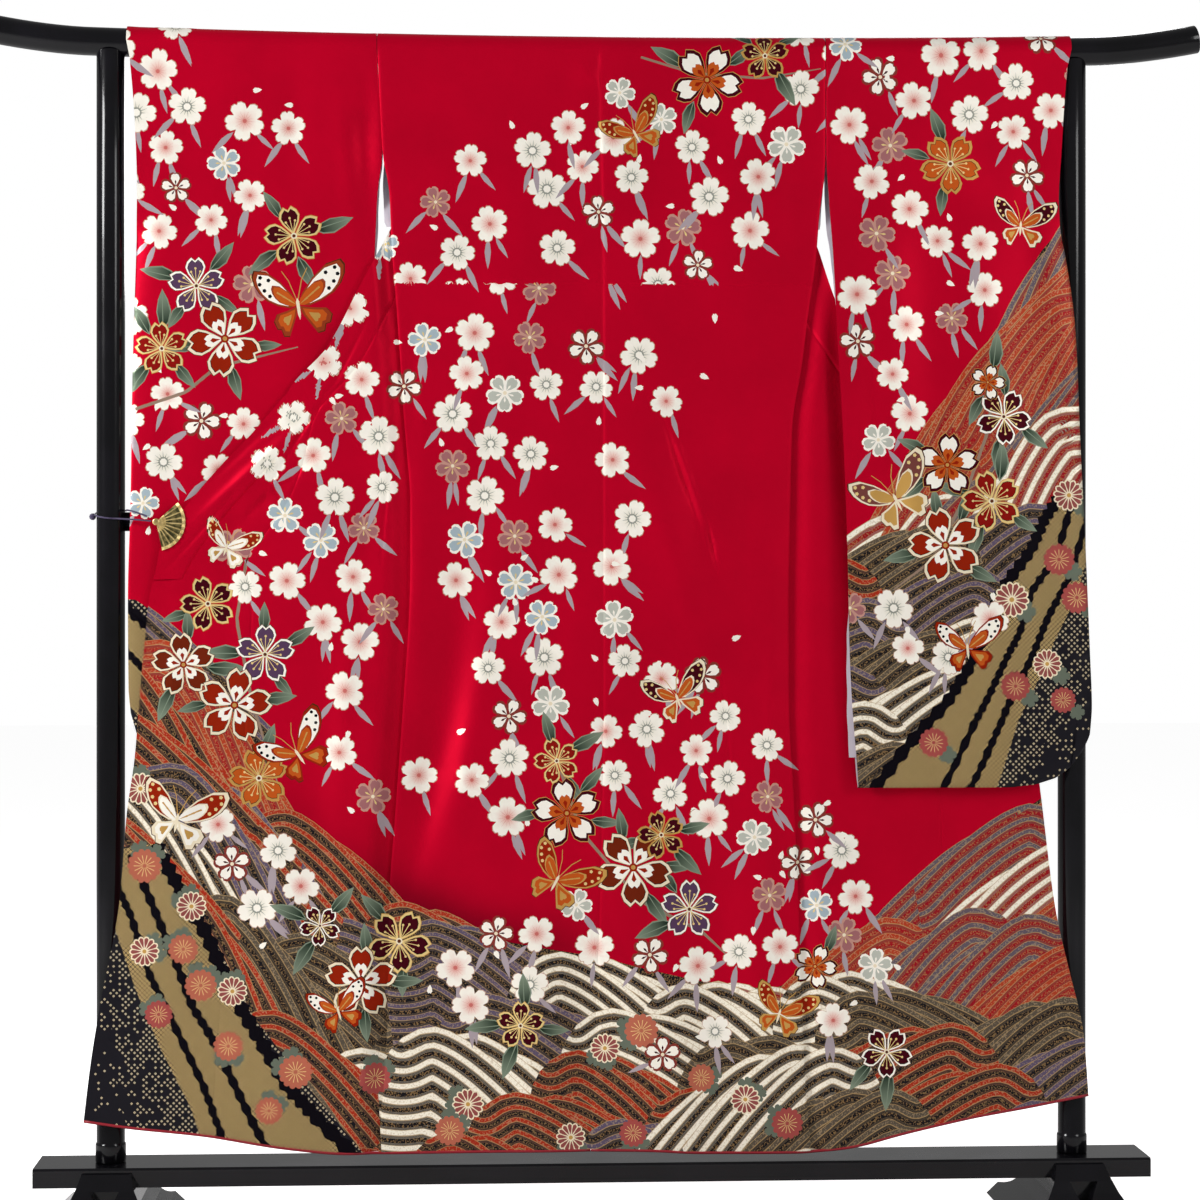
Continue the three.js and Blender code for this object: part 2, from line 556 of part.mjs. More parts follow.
// Sleeve: one cloth folded over the bar, its layers closing at the outer edge under the cuff
// and along the bottom.
function sleeveLayer(side, layer, z) {
  const table = SLEEVE[side];
  const inner = at(table, 'inner', z);
  const outer = at(table, layer === 'near' ? 'outer' : 'outerFar', z);
  const [near, far] = [at(table, 'near', z), at(table, 'far', z)];
  const bottom = table[table.length - 1].z;
  const closed = smooth((CUFF.z - z) / CUFF.run);
  const fromBottom = Math.min(1, (z - bottom) / SLEEVE_EDGE.run);
  return SLEEVE_COLUMNS.map((t) => {
    const x = mix(inner, outer, t);
    const fromOuter = mix(1, Math.min(1, Math.abs(outer - x) / SLEEVE_EDGE.run), closed);
    const open = Math.sqrt(Math.max(0, fromOuter * (2 - fromOuter) * fromBottom * (2 - fromBottom)));
    const half = mix(SLEEVE_EDGE.rest, (far - near) / 2, open);
    const depth = (near + far) / 2 + (layer === 'near' ? -half : half);
    return new THREE.Vector3(x, depth + foldDepth(SLEEVE_FOLDS, x, z), z);
  });
}

function sleeveGrid(side) {
  const rows = SLEEVE[side].map((row) => row.z).filter((z) => z < BAR.z);
  const inner = at(SLEEVE[side], 'inner', BAR.z);
  const over = SLEEVE_OVER_BAR.map((degrees) => {
    const outer = at(SLEEVE[side], degrees < 0 ? 'outer' : 'outerFar', BAR.z);
    return SLEEVE_COLUMNS.map((t) => overBar(mix(inner, outer, t), degrees));
  });
  return [
    ...[...rows].reverse().map((z) => sleeveLayer(side, 'near', z)),
    ...over,
    ...rows.map((z) => sleeveLayer(side, 'far', z)),
  ];
}

// Lining where it shows: along the sleeve's open inner edge and in the opening under it.
function sleeveLiningGrid(side, rows) {
  const outwards = -towardsCentre(side);
  return rows.map(({ z, reach }) => {
    const inner = at(SLEEVE[side], 'inner', z);
    const depth = at(SLEEVE[side], 'far', z) - CLOTH - GAP - LINING.behindSleeve;
    return [-reach, ...SLEEVE_LINING_STEPS].map((step) => {
      const x = inner + outwards * step;
      return new THREE.Vector3(x, depth + foldDepth(SLEEVE_FOLDS, x, z), z);
    });
  });
}

function bodyLiningGrid(side, rows) {
  const sign = towardsCentre(side);
  return rows.map(({ z, reach }) => {
    const seamX = at(BODY[side], 'side', z);
    return [-reach, ...BODY_LINING_STEPS].map((inward) => {
      const depth = farDepth(side, Math.max(0, inward), z) - CLOTH - GAP - LINING.behindBack;
      return new THREE.Vector3(seamX + sign * inward, depth, z);
    });
  });
}

// Crimson roll under the hem, from the okumi's corner to the centre seam.
function pipingGrid(side, body) {
  const okumi = okumiGrid(side).at(-1).slice().reverse();
  const front = body.front.at(-1).slice(TURN_COLUMN).reverse();
  const back = body.grid[0];
  const hem = [...okumi, ...front, ...back];
  return hem.map((point) => [GAP, GAP + PIPING.height].map((drop) => (
    new THREE.Vector3(point.x, point.y, point.z - drop))));
}

// ---------------------------------------------------------------- the garment
const bodies = { left: bodyGrid('left'), right: bodyGrid('right') };
for (const side of ['left', 'right']) {
  const sleeveLining = wall(sleeveLiningGrid(side, SLEEVE_LINING[side]), LINING.thickness);
  const bodyLining = wall(bodyLiningGrid(side, BODY_LINING[side]), LINING.thickness);
  const piping = wall(pipingGrid(side, bodies[side]), PIPING.thickness);
  add(kimono, `body_${side}`, wall(bodies[side].grid), SILK_RED, SATIN);
  add(kimono, `okumi_${side}`, wall(okumiGrid(side)), SILK_RED, SATIN);
  add(kimono, `sleeve_${side}`, wall(sleeveGrid(side)), SILK_RED, SATIN);
  add(kimono, `sleeve_lining_${side}`, sleeveLining, LINING_WHITE, PLAIN_SILK);
  add(kimono, `body_lining_${side}`, bodyLining, LINING_WHITE, PLAIN_SILK);
  add(kimono, `hem_piping_${side}`, piping, PIPING_CRIMSON, PLAIN_SILK);
}
add(kimono, 'collar', wall(collarGrid(bodies)), SILK_RED, SATIN);

// ---------------------------------------------------------------- the stand
function topBar() {
  const stations = [];
  for (let x = -BAR.halfLength; x <= BAR.halfLength; x += BAR.halfLength / 12) stations.push(x);
  const path = new THREE.CatmullRomCurve3(
    stations.map((x) => new THREE.Vector3(x, 0, BAR.z + barRise(x))));
  const outline = new THREE.Shape().absarc(0, 0, BAR.radius, 0, 2 * Math.PI);
  return new THREE.ExtrudeGeometry(outline, { steps: 28, curveSegments: 10, extrudePath: path });
}

function post(side) {
  const { radius, footRadius, footHeight, footBevel, topZ } = POST;
  const base = BOARD.bottomZ + BOARD.height + GAP;
  const profile = [
    [0, base], [footRadius, base], [footRadius, base + footHeight - footBevel],
    [radius, base + footHeight], [radius, topZ], [0, topZ],
  ].map(([r, z]) => new THREE.Vector2(r, z));
  const blank = new THREE.LatheGeometry(profile, ROUND).rotateX(Math.PI / 2);
  blank.translate(side * POST.x, 0, 0);
  const saddle = rod(clearRadius(BAR.radius), -3 * radius, 3 * radius, true);
  saddle.rotateY(-side * Math.atan(2 * BAR.arch * POST.x / BAR.archSpan ** 2));
  saddle.translate(side * POST.x, 0, BAR.z + barRise(POST.x));
  return geometryOfSolid(solidOf(blank).subtract(solidOf(saddle)));
}

// The rail between the posts, its ends hollowed to their round.
function rail() {
  const outline = new THREE.Shape().absellipse(0, 0, RAIL.depth / 2, RAIL.height / 2, 0, 2 * Math.PI);
  const length = { depth: 2 * POST.x, bevelEnabled: false, curveSegments: 8 };
  const blank = new THREE.ExtrudeGeometry(outline, length);
  blank.rotateX(Math.PI / 2).rotateZ(Math.PI / 2).translate(-POST.x, 0, RAIL.z);
  let solid = solidOf(blank);
  for (const side of [-1, 1]) {
    const hollow = rod(clearRadius(POST.radius), RAIL.z - RAIL.height, RAIL.z + RAIL.height);
    solid = solid.subtract(solidOf(hollow.translate(side * POST.x, 0, 0)));
  }
  return geometryOfSolid(solid);
}

// A box with bevelled long and short top edges.
function board() {
  const { halfLength, depth, bottomZ, height, bevel } = BOARD;
  const outline = new THREE.Shape([
    new THREE.Vector2(-depth / 2, 0), new THREE.Vector2(depth / 2, 0),
    new THREE.Vector2(depth / 2, height - bevel), new THREE.Vector2(depth / 2 - bevel, height),
    new THREE.Vector2(-depth / 2 + bevel, height), new THREE.Vector2(-depth / 2, height - bevel),
  ]);
  const geometry = new THREE.ExtrudeGeometry(outline, { depth: 2 * halfLength, bevelEnabled: false });
  return geometry.rotateX(Math.PI / 2).rotateZ(Math.PI / 2).translate(-halfLength, 0, bottomZ);
}

// Cross foot: long arched sides that hold the board in a notch, flared ends with a carved V.
function foot(side) {
  const { halfDepth, toeHeight, topHalfWidth, baseHalfWidth, lip, lipDepth, lipWidth } = FOOT;
  const notch = BOARD.depth / 2 + GAP;
  const seat = BOARD.bottomZ - GAP;
  const lipZ = seat + lip;
  const shoulder = notch + lipDepth;
  const toeBend = [shoulder + FOOT.toeReach, toeHeight + FOOT.toeRise];
  const long = new THREE.Shape();
  long.moveTo(-halfDepth, 0);
  long.lineTo(halfDepth, 0);
  long.lineTo(halfDepth, toeHeight);
  long.quadraticCurveTo(toeBend[0], toeBend[1], shoulder, seat);
  long.lineTo(notch + lipWidth, lipZ);
  long.lineTo(notch, lipZ);
  long.lineTo(notch, seat);
  long.lineTo(-notch, seat);
  long.lineTo(-notch, lipZ);
  long.lineTo(-notch - lipWidth, lipZ);
  long.lineTo(-shoulder, seat);
  long.quadraticCurveTo(-toeBend[0], toeBend[1], -halfDepth, toeHeight);
  const wide = { depth: 2 * baseHalfWidth, bevelEnabled: false, curveSegments: FOOT.curve };
  const lengthwise = new THREE.ExtrudeGeometry(long, wide);
  lengthwise.rotateX(Math.PI / 2).rotateZ(Math.PI / 2).translate(-baseHalfWidth, 0, 0);

  const waist = topHalfWidth + FOOT.waistReach;
  const top = lipZ + 1;
  const front = new THREE.Shape();
  front.moveTo(-baseHalfWidth, 0);
  front.lineTo(baseHalfWidth, 0);
  front.quadraticCurveTo(waist, FOOT.waistZ, topHalfWidth, top);
  front.lineTo(-topHalfWidth, top);
  front.quadraticCurveTo(-waist, FOOT.waistZ, -baseHalfWidth, 0);
  const deep = { depth: 2 * halfDepth, bevelEnabled: false, curveSegments: FOOT.curve };
  const frontwise = new THREE.ExtrudeGeometry(front, deep);
  frontwise.rotateX(Math.PI / 2).translate(0, halfDepth, 0);

  const groove = new THREE.Shape([
    new THREE.Vector2(-FOOT.grooveHalfWidth, seat), new THREE.Vector2(0, FOOT.grooveTip),
    new THREE.Vector2(FOOT.grooveHalfWidth, seat),
  ]);
  const grooveStart = shoulder - FOOT.grooveDepth;
  let solid = solidOf(lengthwise).intersect(solidOf(frontwise));
  for (const nearEnd of [grooveStart + halfDepth, -grooveStart]) {
    const cutter = new THREE.ExtrudeGeometry(groove, { depth: halfDepth, bevelEnabled: false });
    cutter.rotateX(Math.PI / 2).translate(0, nearEnd, 0);
    solid = solid.subtract(solidOf(cutter));
  }
  return geometryOfSolid(solid).translate(side * POST.x, 0, 0);
}

add(stand, 'top_bar', topBar(), BLACK_LACQUER, GLOSS);
add(stand, 'rail', rail(), BLACK_LACQUER, GLOSS);
add(stand, 'base_board', board(), BLACK_LACQUER, WORN_GLOSS);
for (const [side, sign] of [['left', -1], ['right', 1]]) {
  add(stand, `post_${side}`, post(sign), BLACK_LACQUER, GLOSS);
  add(stand, `foot_${side}`, foot(sign), BLACK_LACQUER, WORN_GLOSS);
}

// ---------------------------------------------------------------- the clip and its cord
// Folding-fan clip: a ribbed leaf before the cloth and a plain one behind it, on one pin.
function fanLeaf(radius, from, to, thickness, scallop) {
  const leaf = new THREE.Shape();
  const corners = 2 * CLIP.ribs;
  leaf.moveTo(0, 0);
  for (let i = 0; i <= corners; i++) {
    const angle = radians(mix(from, to, i / corners));
    const reach = i % 2 ? radius - scallop : radius;
    leaf.lineTo(reach * Math.cos(angle), reach * Math.sin(angle));
  }
  const geometry = new THREE.ExtrudeGeometry(leaf, { depth: thickness, bevelEnabled: false });
  return geometry.rotateX(Math.PI / 2);
}

function fanClip() {
  const { x, y, z, radius, thickness, ribs, from, to, pinRadius } = CLIP;
  const face = y - thickness / 2;
  const backFace = CLIP.behind + CLIP.backThickness;
  const [backFrom, backTo] = [from + CLIP.backNarrower, to - CLIP.backNarrower];
  const front = fanLeaf(radius, from, to, thickness, CLIP.scallop).translate(x, y + thickness / 2, z);
  const back = fanLeaf(radius - CLIP.backInset, backFrom, backTo, CLIP.backThickness, 0);
  const pin = new THREE.CylinderGeometry(pinRadius, pinRadius, backFace - face, CLIP.pinFacets);
  pin.translate(x, (backFace + face) / 2, z);
  let solid = solidOf(front).add(solidOf(back.translate(x, backFace, z))).add(solidOf(pin));
  const ribLength = radius - pinRadius - CLIP.ribInset;
  for (let i = 0; i <= ribs; i++) {
    const rib = new THREE.BoxGeometry(ribLength, CLIP.ribHeight, CLIP.ribWidth);
    rib.translate(ribLength / 2 + pinRadius - 1, 0, 0);
    rib.rotateY(-radians(mix(from + CLIP.ribMargin, to - CLIP.ribMargin, i / ribs)));
    solid = solid.add(solidOf(rib.translate(x, face, z)));
  }
  return geometryOfSolid(solid);
}

// Cord from the clip's pin round the post and back, with its knot at the post's outer side.
function tieCord() {
  const around = POST.radius + CORD.radius + CORD.clear;
  const railTop = RAIL.z + RAIL.height / 2 + CORD.radius + CORD.aboveRail;
  const outward = [[-626.8 - CORD.radius, -30.7, CLIP.z + 1], [-648, -29.5, CLIP.z + 3]];
  const back = [
    [-665, -3, railTop], [-663.5, -15, railTop], [-654, -26, railTop - 2], [-634, -31, CLIP.z + 8],
  ];
  const turns = [];
  for (let degrees = CORD_TURN.from; degrees >= CORD_TURN.to; degrees -= CORD_TURN.step) {
    const settled = smooth((CORD_TURN.from - degrees) / CORD_TURN.settle);
    turns.push([
      -POST.x + around * Math.cos(radians(degrees)),
      around * Math.sin(radians(degrees)),
      mix(CLIP.z + 5, railTop, settled),
    ]);
  }
  const route = [...outward, ...turns, ...back].map((point) => new THREE.Vector3(...point));
  const outline = new THREE.Shape().absarc(0, 0, CORD.radius, 0, 2 * Math.PI);
  const extrudePath = new THREE.CatmullRomCurve3(route);
  const tube = new THREE.ExtrudeGeometry(outline, { steps: 64, curveSegments: 3, extrudePath });
  const knot = new THREE.SphereGeometry(CORD.knotRadius, 10, 8);
  knot.translate(-POST.x - POST.radius - CORD.knotRadius - 0.5, 0, CLIP.z + 8);
  return geometryOfSolid(solidOf(tube).add(solidOf(knot)));
}

add(stand, 'fan_clip', fanClip(), OLD_BRASS, 0.35, 0.9);
add(stand, 'tie_cord', tieCord(), CORD_PURPLE, 0.6);

const model = new THREE.Group();
model.add(kimono, stand);
export default model;
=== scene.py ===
"""Furisode kimono on its stand: cloth shells, print, linings, stand, light and camera."""
import math
import random

import bpy
import numpy as np
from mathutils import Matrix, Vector
from mathutils.geometry import delaunay_2d_cdt


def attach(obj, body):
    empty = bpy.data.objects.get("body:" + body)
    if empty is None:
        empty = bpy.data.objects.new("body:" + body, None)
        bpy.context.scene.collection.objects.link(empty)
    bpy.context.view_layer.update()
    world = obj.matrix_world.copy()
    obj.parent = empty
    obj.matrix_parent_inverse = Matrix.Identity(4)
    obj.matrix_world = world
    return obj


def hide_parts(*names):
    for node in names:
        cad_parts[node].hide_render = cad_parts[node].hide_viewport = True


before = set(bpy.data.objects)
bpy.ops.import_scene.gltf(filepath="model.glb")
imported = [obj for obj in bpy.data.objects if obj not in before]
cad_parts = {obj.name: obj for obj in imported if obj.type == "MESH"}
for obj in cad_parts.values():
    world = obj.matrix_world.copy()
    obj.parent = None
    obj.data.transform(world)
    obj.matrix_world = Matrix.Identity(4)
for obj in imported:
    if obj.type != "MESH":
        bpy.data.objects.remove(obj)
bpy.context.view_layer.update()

MM = 0.001

# ---------------------------------------------------------------- sizes of the solids, in mm
CLOTH = 1.6
SEAM = 0.8
BAR = dict(radius=20, z=1671.5, half=870, arch=8.5, span=690, tip=720, run=150, rise=15, power=1.7)
POST = dict(x=688, radius=20, foot_radius=21.5, foot_height=28, top=1675)
RAIL = dict(z=1000, height=27, depth=18)
BOARD = dict(half=791, depth=100, bottom=66, height=27, bevel=3)
HANG = BAR["radius"] + 1.9
HEM_Z = 100
FRONT_WIDTH = 230
SEAM_TUCK = 6
LAYER = 4.5
COLLAR_WIDTH = 50
COLLAR_LIFT = 3
NECK = 88
OPENING_TOP, OPENING_BOTTOM = 1519, 1392
CUFF_Z = 1460
EDGE_RUN = 34
NECK_ANGLE, SHOULDER_ANGLE = 12, 38

BODY = {
    "left": [  # z, side seam, front edge
        (1671.5, -311, -88), (1570, -306, -150), (1519, -303, -178), (1469, -294, -206),
        (1383, -290, -252), (1310, -284, -290), (1223, -278, -336), (1145, -273, -400),
        (1087, -268, -414), (1031, -264, -435), (981, -264, -469), (941, -264, -496),
        (889, -265, -487), (743, -274, -494), (578, -286, -506), (461, -294, -514),
        (294, -296, -531), (100, -309, -544)],
    "right": [
        (1671.5, 328, 88), (1570, 328, 165), (1517, 328, 195), (1438, 319, 238), (1374, 314, 271),
        (1290, 302, 300), (1225, 294, 340), (1135, 280, 406), (1003, 277, 442), (889, 275, 470),
        (746, 275, 485), (603, 282, 492), (474, 288, 499), (345, 292, 514), (202, 298, 529),
        (100, 306, 541)],
}
OKUMI = {
    "left": [  # z, outer edge
        (1145, -402), (1087, -452), (1049, -489), (981, -546), (941, -573), (918, -585), (915, -626),
        (830, -637), (743, -645), (668, -651), (589, -662), (464, -672), (303, -697), (200, -711),
        (100, -722)],
    "right": [
        (1135, 408), (1070, 456), (1003, 506), (950, 548), (932, 562), (929, 600), (889, 605),
        (746, 620), (621, 636), (430, 660), (315, 680), (200, 699), (100, 706)],
}
COLLAR_END = {"left": 918, "right": 932}
CENTRE = [(1700, 4), (1315, 10), (747, 10), (497, 6), (100, -8)]
HEM = [(-730, 159), (-658, 148), (-560, 137), (-434, 116), (-349, 108), (-109, 109), (76, 108), (148, 104),
       (291, 103), (362, 109), (434, 127), (542, 151), (622, 165), (710, 182)]
SLEEVE = {
    "left": [  # z, inner edge, outer edge near, outer edge far, near depth, far depth
        (1671.5, -311.8, -664, -664, -21.9, 21.9), (1652, -310.9, -659, -659, -21.9, 21.9),
        (1519, -303.8, -650, -650, -20.5, 17), (1471, -310, -649, -649, -19, 12),
        (1390, -314, -651, -651, -17.5, 2), (1200, -321, -656, -656, -19, -8),
        (1040, -328, -658, -658, -20.4, -13.2), (889, -332, -662, -662, -20.4, -13.2),
        (762, -336, -661, -661, -20.4, -13.2), (730, -337, -658, -658, -20.4, -13.2),
        (698, -339, -649, -649, -20.4, -13.2), (675, -341, -635, -635, -20.4, -13.2),
        (658, -343, -612, -612, -20.4, -13.2), (647, -344, -582, -582, -20.4, -13.2),
        (642, -345, -545, -545, -20.4, -13.2)],
    "right": [
        (1671.5, 328.8, 683, 655, -21.9, 21.9), (1652, 328.8, 677, 652, -22.4, 21.9),
        (1519, 328.8, 667, 650, -24, 14), (1460, 332, 663, 660, -28, -2),
        (1420, 334, 664, 664, -34, -16), (1388, 336, 670, 670, -39, -26),
        (1274, 341, 684, 684, -47, -34), (1103, 350, 691, 691, -51, -36),
        (960, 355, 698, 698, -52, -37), (818, 358, 704, 704, -52, -37),
        (735, 362, 707, 707, -52, -37), (697, 365, 704, 704, -52, -37),
        (675, 367, 694, 694, -52, -37), (650, 369, 675, 675, -52, -37),
        (635, 370, 654, 654, -52, -37), (626, 371, 625, 625, -52, -37),
        (622, 371, 590, 590, -52, -37)],
}
DEPTH = [  # z, back, far side of the bar, opened front left, opened front right
    (1700, -21.9, 21.9, -30, -26), (1640, -21.9, 21.9, -30, -26), (1519, -22.4, 17, -30, -26),
    (1392, -23, 6, -30, -26), (1200, -24, -8, -30, -26), (1040, -25, -17, -30, -26),
    (900, -25.5, -20.5, -30, -26), (100, -27, -22, -31, -27)]
FOLDS = [  # x, z, width, half length, lean, depth (negative is towards the viewer of the back)
    (-205, 760, 46, 460, 0.14, 7), (-150, 640, 34, 330, 0.1, -5), (-222, 560, 26, 260, 0.3, -6),
    (-90, 300, 50, 330, -0.04, -7), (-10, 280, 36, 300, 0.02, 6), (90, 330, 52, 380, -0.06, -6),
    (170, 360, 34, 330, -0.03, 6), (232, 420, 30, 380, 0, -5), (110, 960, 26, 210, -0.3, -4),
    (60, 1250, 60, 330, 0.05, -3), (-120, 1280, 60, 300, -0.05, -3), (-18, 1600, 22, 130, 0, -2.5),
    (352, 1130, 15, 330, -0.08, 6), (440, 560, 40, 400, -0.06, -4), (560, 380, 38, 300, -0.1, -4),
    (400, 330, 34, 260, -0.04, 3), (-484, 1066, 24, 90, 1.08, -4), (-330, 640, 36, 420, 0.02, -4),
    (-400, 520, 32, 380, 0.06, 2.5), (-450, 330, 36, 280, 0.08, -4), (-600, 400, 36, 360, 0.12, -4)]
SLEEVE_FOLDS = [(-326, 1550, 12, 90, 0, 3), (-430, 1350, 46, 260, 0.04, -2), (-560, 1250, 40, 330, 0, -2),
                (420, 1300, 34, 300, -0.03, -4), (480, 1150, 34, 420, -0.03, 3),
                (560, 1200, 40, 420, -0.04, -4), (640, 1050, 30, 380, -0.06, 2),
                (400, 850, 30, 260, -0.02, -3)]
FINE = 1.5  # the fine creases are this much deeper than listed
FINE_FOLDS = [  # creases too fine for the solids
    (-214, 740, 22, 320, 0.13, 2.4), (-176, 720, 18, 300, 0.12, -2.0), (-122, 760, 22, 300, 0.1, 1.2),
    (-246, 600, 20, 250, 0.14, 2.0), (-200, 610, 21, 250, 0.14, -1.4), (292, 950, 30, 300, 0.0, 2.4),
    (-500, 1062, 9, 90, 1.05, -1.6), (-458, 1040, 9, 90, 1.1, 1.6), (-330, 880, 20, 260, 0.06, 1.6),
    (-360, 700, 16, 260, 0.08, -1.6), (170, 660, 24, 260, -0.04, -1.4), (80, 620, 26, 240, 0.03, 1.3),
    (-60, 520, 20, 220, 0.05, -1.4), (122, 1068, 3.4, 92, -0.35, 2.6), (131, 1068, 5, 92, -0.35, -1.3),
    (165, 968, 3.2, 44, -0.2, 2.2), (136, 1010, 9, 110, -0.3, 1.0), (-420, 1120, 3, 110, 0.62, 1.2),
    (-350, 1235, 3, 70, 0.5, 1.0), (-560, 985, 3, 70, 0.9, 1.1), (-300, 1010, 3, 90, 0.08, 0.9),
    (186, 700, 3, 120, -0.1, 0.8), (-262, 1180, 9, 150, 0.02, 1.2), (-250, 900, 12, 240, 0.03, -1.6),
    (-180, 1130, 14, 160, 0.04, -0.9), (40, 900, 16, 260, 0.0, -0.9), (-60, 820, 18, 300, 0.03, 0.9),
    (215, 1000, 14, 260, 0.02, 1.0), (250, 760, 10, 300, 0.01, -1.4), (-40, 1480, 24, 170, 0.06, 0.7),
    (150, 1500, 26, 160, -0.05, 0.8), (-200, 1520, 24, 140, 0.04, 0.7), (260, 1470, 14, 120, 0.03, -0.9),
    (-10, 1640, 12, 60, -0.5, -1.6), (-130, 230, 16, 150, -0.05, 1.3), (40, 220, 15, 150, 0.04, 1.4),
    (120, 200, 14, 140, -0.05, -1.5), (210, 240, 15, 150, 0.02, 1.6), (-300, 300, 14, 180, 0.06, 1.6),
    (-380, 260, 14, 160, 0.05, -1.4), (-520, 900, 12, 200, 0.05, 1.2), (-600, 760, 13, 220, 0.07, -1.3),
    (-560, 560, 14, 220, 0.08, 1.3), (-670, 300, 12, 160, 0.1, 1.4), (-500, 1100, 8, 70, 1.05, 1.3),
    (-470, 1040, 7, 60, 1.2, -1.1), (420, 900, 14, 220, -0.04, 1.2), (520, 500, 14, 220, -0.08, 1.4),
    (640, 330, 14, 160, -0.1, -1.3)]
FINE_SLEEVE_FOLDS = [(-330, 1540, 14, 190, -0.07, 1.2), (-352, 1500, 12, 170, -0.1, -1.2),
                     (-430, 1560, 20, 150, 0.05, 1.0), (-330, 1520, 5, 80, -0.12, 1.6),
                     (-338, 1600, 6, 60, -0.08, -1.3), (-500, 1480, 26, 170, 0.03, 0.8),
                     (-610, 1420, 22, 220, 0.0, -0.8), (-380, 1200, 20, 240, 0.02, 0.9),
                     (-600, 1000, 20, 260, 0.01, 0.9), (380, 1500, 22, 150, 0.03, 1.0),
                     (520, 1520, 26, 130, -0.02, -0.9), (620, 1440, 18, 170, 0.02, 1.1),
                     (450, 1000, 16, 260, -0.03, 1.2), (600, 900, 18, 220, -0.04, -1.3),
                     (520, 760, 16, 130, -0.02, 1.2), (650, 800, 12, 140, -0.05, 1.0),
                     (390, 1200, 10, 220, -0.03, 1.3)]
COLLAR = {
    "left": [  # z, across, down, turn in degrees
        (1681, 0.6, 0.8, 20), (1671, 0.62, 0.78, 26), (1645, 0.7, 0.7, 48), (1610, 0.8, 0.6, 90),
        (1570, 0.88, 0.47, 140), (1519, 0.88, 0.47, 180), (1250, 0.88, 0.47, 180),
        (1145, 0.76, 0.65, 180), (981, 0.76, 0.65, 180), (941, 0.84, 0.4, 180), (918, 0.8, 0, 180)],
    "right": [
        (1681, 0.6, 0.8, 20), (1671, 0.62, 0.78, 26), (1645, 0.7, 0.7, 48), (1610, 0.8, 0.6, 90),
        (1570, 0.88, 0.47, 140), (1519, 0.88, 0.47, 180), (1250, 0.88, 0.4, 180),
        (1135, 0.78, 0.62, 180), (950, 0.78, 0.5, 180), (932, 0.76, 0, 180)],
}
SLEEVE_LINING = {  # z, reach past the sleeve's inner edge
    "left": [(1500, 0), (1450, 2), (1390, 2), (1290, 0)],
    "right": [(1500, 0), (1440, 4), (1388, 3), (1320, -2), (1274, -8), (980, -8), (900, -3), (818, 2),
              (735, 6), (665, 8)],
}
BODY_LINING = {  # z, reach past the side seam
    "left": [(1512, 0), (1469, 9), (1425, 9), (1418, 6)],
    "right": [(1510, 0), (1469, 3), (1425, 3), (1418, 2)],
}
TUCK_Z = 1338  # the waist tuck across the back
PLAIN_NECK = 1600  # the collar carries no print above this


class Curve:
    """Smooth reading of a table's column: a monotone cubic through its rows."""

    def __init__(self, rows, column=1):
        rows = sorted(rows)
        self.x = np.array([r[0] for r in rows], float)
        self.y = np.array([r[column] for r in rows], float)
        step = np.diff(self.y) / np.diff(self.x)
        slope = np.empty_like(self.y)
        slope[0], slope[-1] = step[0], step[-1]
        product = step[:-1] * step[1:]
        total = step[:-1] + step[1:]
        slope[1:-1] = np.where(product > 0, 2 * product / np.where(total == 0, 1, total), 0)
        self.slope = slope

    def __call__(self, x):
        x = np.clip(x, self.x[0], self.x[-1])
        i = np.clip(np.searchsorted(self.x, x) - 1, 0, len(self.x) - 2)
        h = self.x[i + 1] - self.x[i]
        t = (x - self.x[i]) / h
        a = (1 + 2 * t) * (1 - t) ** 2 * self.y[i] + t * (1 - t) ** 2 * h * self.slope[i]
        return a + t * t * (3 - 2 * t) * self.y[i + 1] + t * t * (t - 1) * h * self.slope[i + 1]


side_x = {s: Curve(BODY[s], 1) for s in BODY}
front_x = {s: Curve(BODY[s], 2) for s in BODY}
okumi_x = {s: Curve(OKUMI[s], 1) for s in OKUMI}
centre_x = Curve(CENTRE)
depth_back, depth_far = Curve(DEPTH, 1), Curve(DEPTH, 2)
depth_front = {"left": Curve(DEPTH, 3), "right": Curve(DEPTH, 4)}
sleeve_of = {s: [Curve(SLEEVE[s], k) for k in range(1, 6)] for s in SLEEVE}
hem_curve = Curve(HEM)
INWARDS = {"left": 1, "right": -1}


def smooth(t):
    t = np.clip(t, 0, 1)
    return t * t * (3 - 2 * t)


def mix(a, b, t):
    return a + (b - a) * t


def hem_lift(x, z):
    return (hem_curve(x) - HEM_Z) * (1 - smooth((z - HEM_Z) / 420))


def nominal(x, height):
    """The table height of a point that hangs at this real height."""
    z = np.array(height, float)
    for _ in range(10):
        z = height - hem_lift(x, z)
    return z


def fold_depth(tables, x, z):
    total = np.zeros_like(x, dtype=float)
    for table in tables:
        grow = FINE if table in (FINE_FOLDS, FINE_SLEEVE_FOLDS) else 1
        for fx, fz, width, length, lean, depth in table:
            along = (z - fz) / length
            across = (x - fx - lean * (z - fz)) / width
            total += grow * depth * np.clip(1 - along ** 2, 0, 1) ** 2 * np.exp(-across ** 2)
    ripple = (np.sin(x / 31 + 1.3 * np.sin(z / 210)) * np.sin(z / 170 + x / 90)
              + 0.6 * np.sin(x / 17 + z / 260) * np.sin(z / 95))
    return (total + 0.22 * ripple) * smooth((BAR["z"] - z) / 40)


def bar_rise(x):
    tip = np.maximum(0, (np.abs(x) - BAR["tip"]) / BAR["run"])
    return BAR["arch"] * (x / BAR["span"]) ** 2 + BAR["rise"] * tip ** BAR["power"]


def far_depth(side, inward, z):
    seam = depth_back(z) + CLOTH + 0.6
    free = depth_far(z)
    opened = smooth((z - OPENING_BOTTOM) / (OPENING_TOP - OPENING_BOTTOM))
    return mix(mix(seam, free, opened), free, smooth(inward / 70))


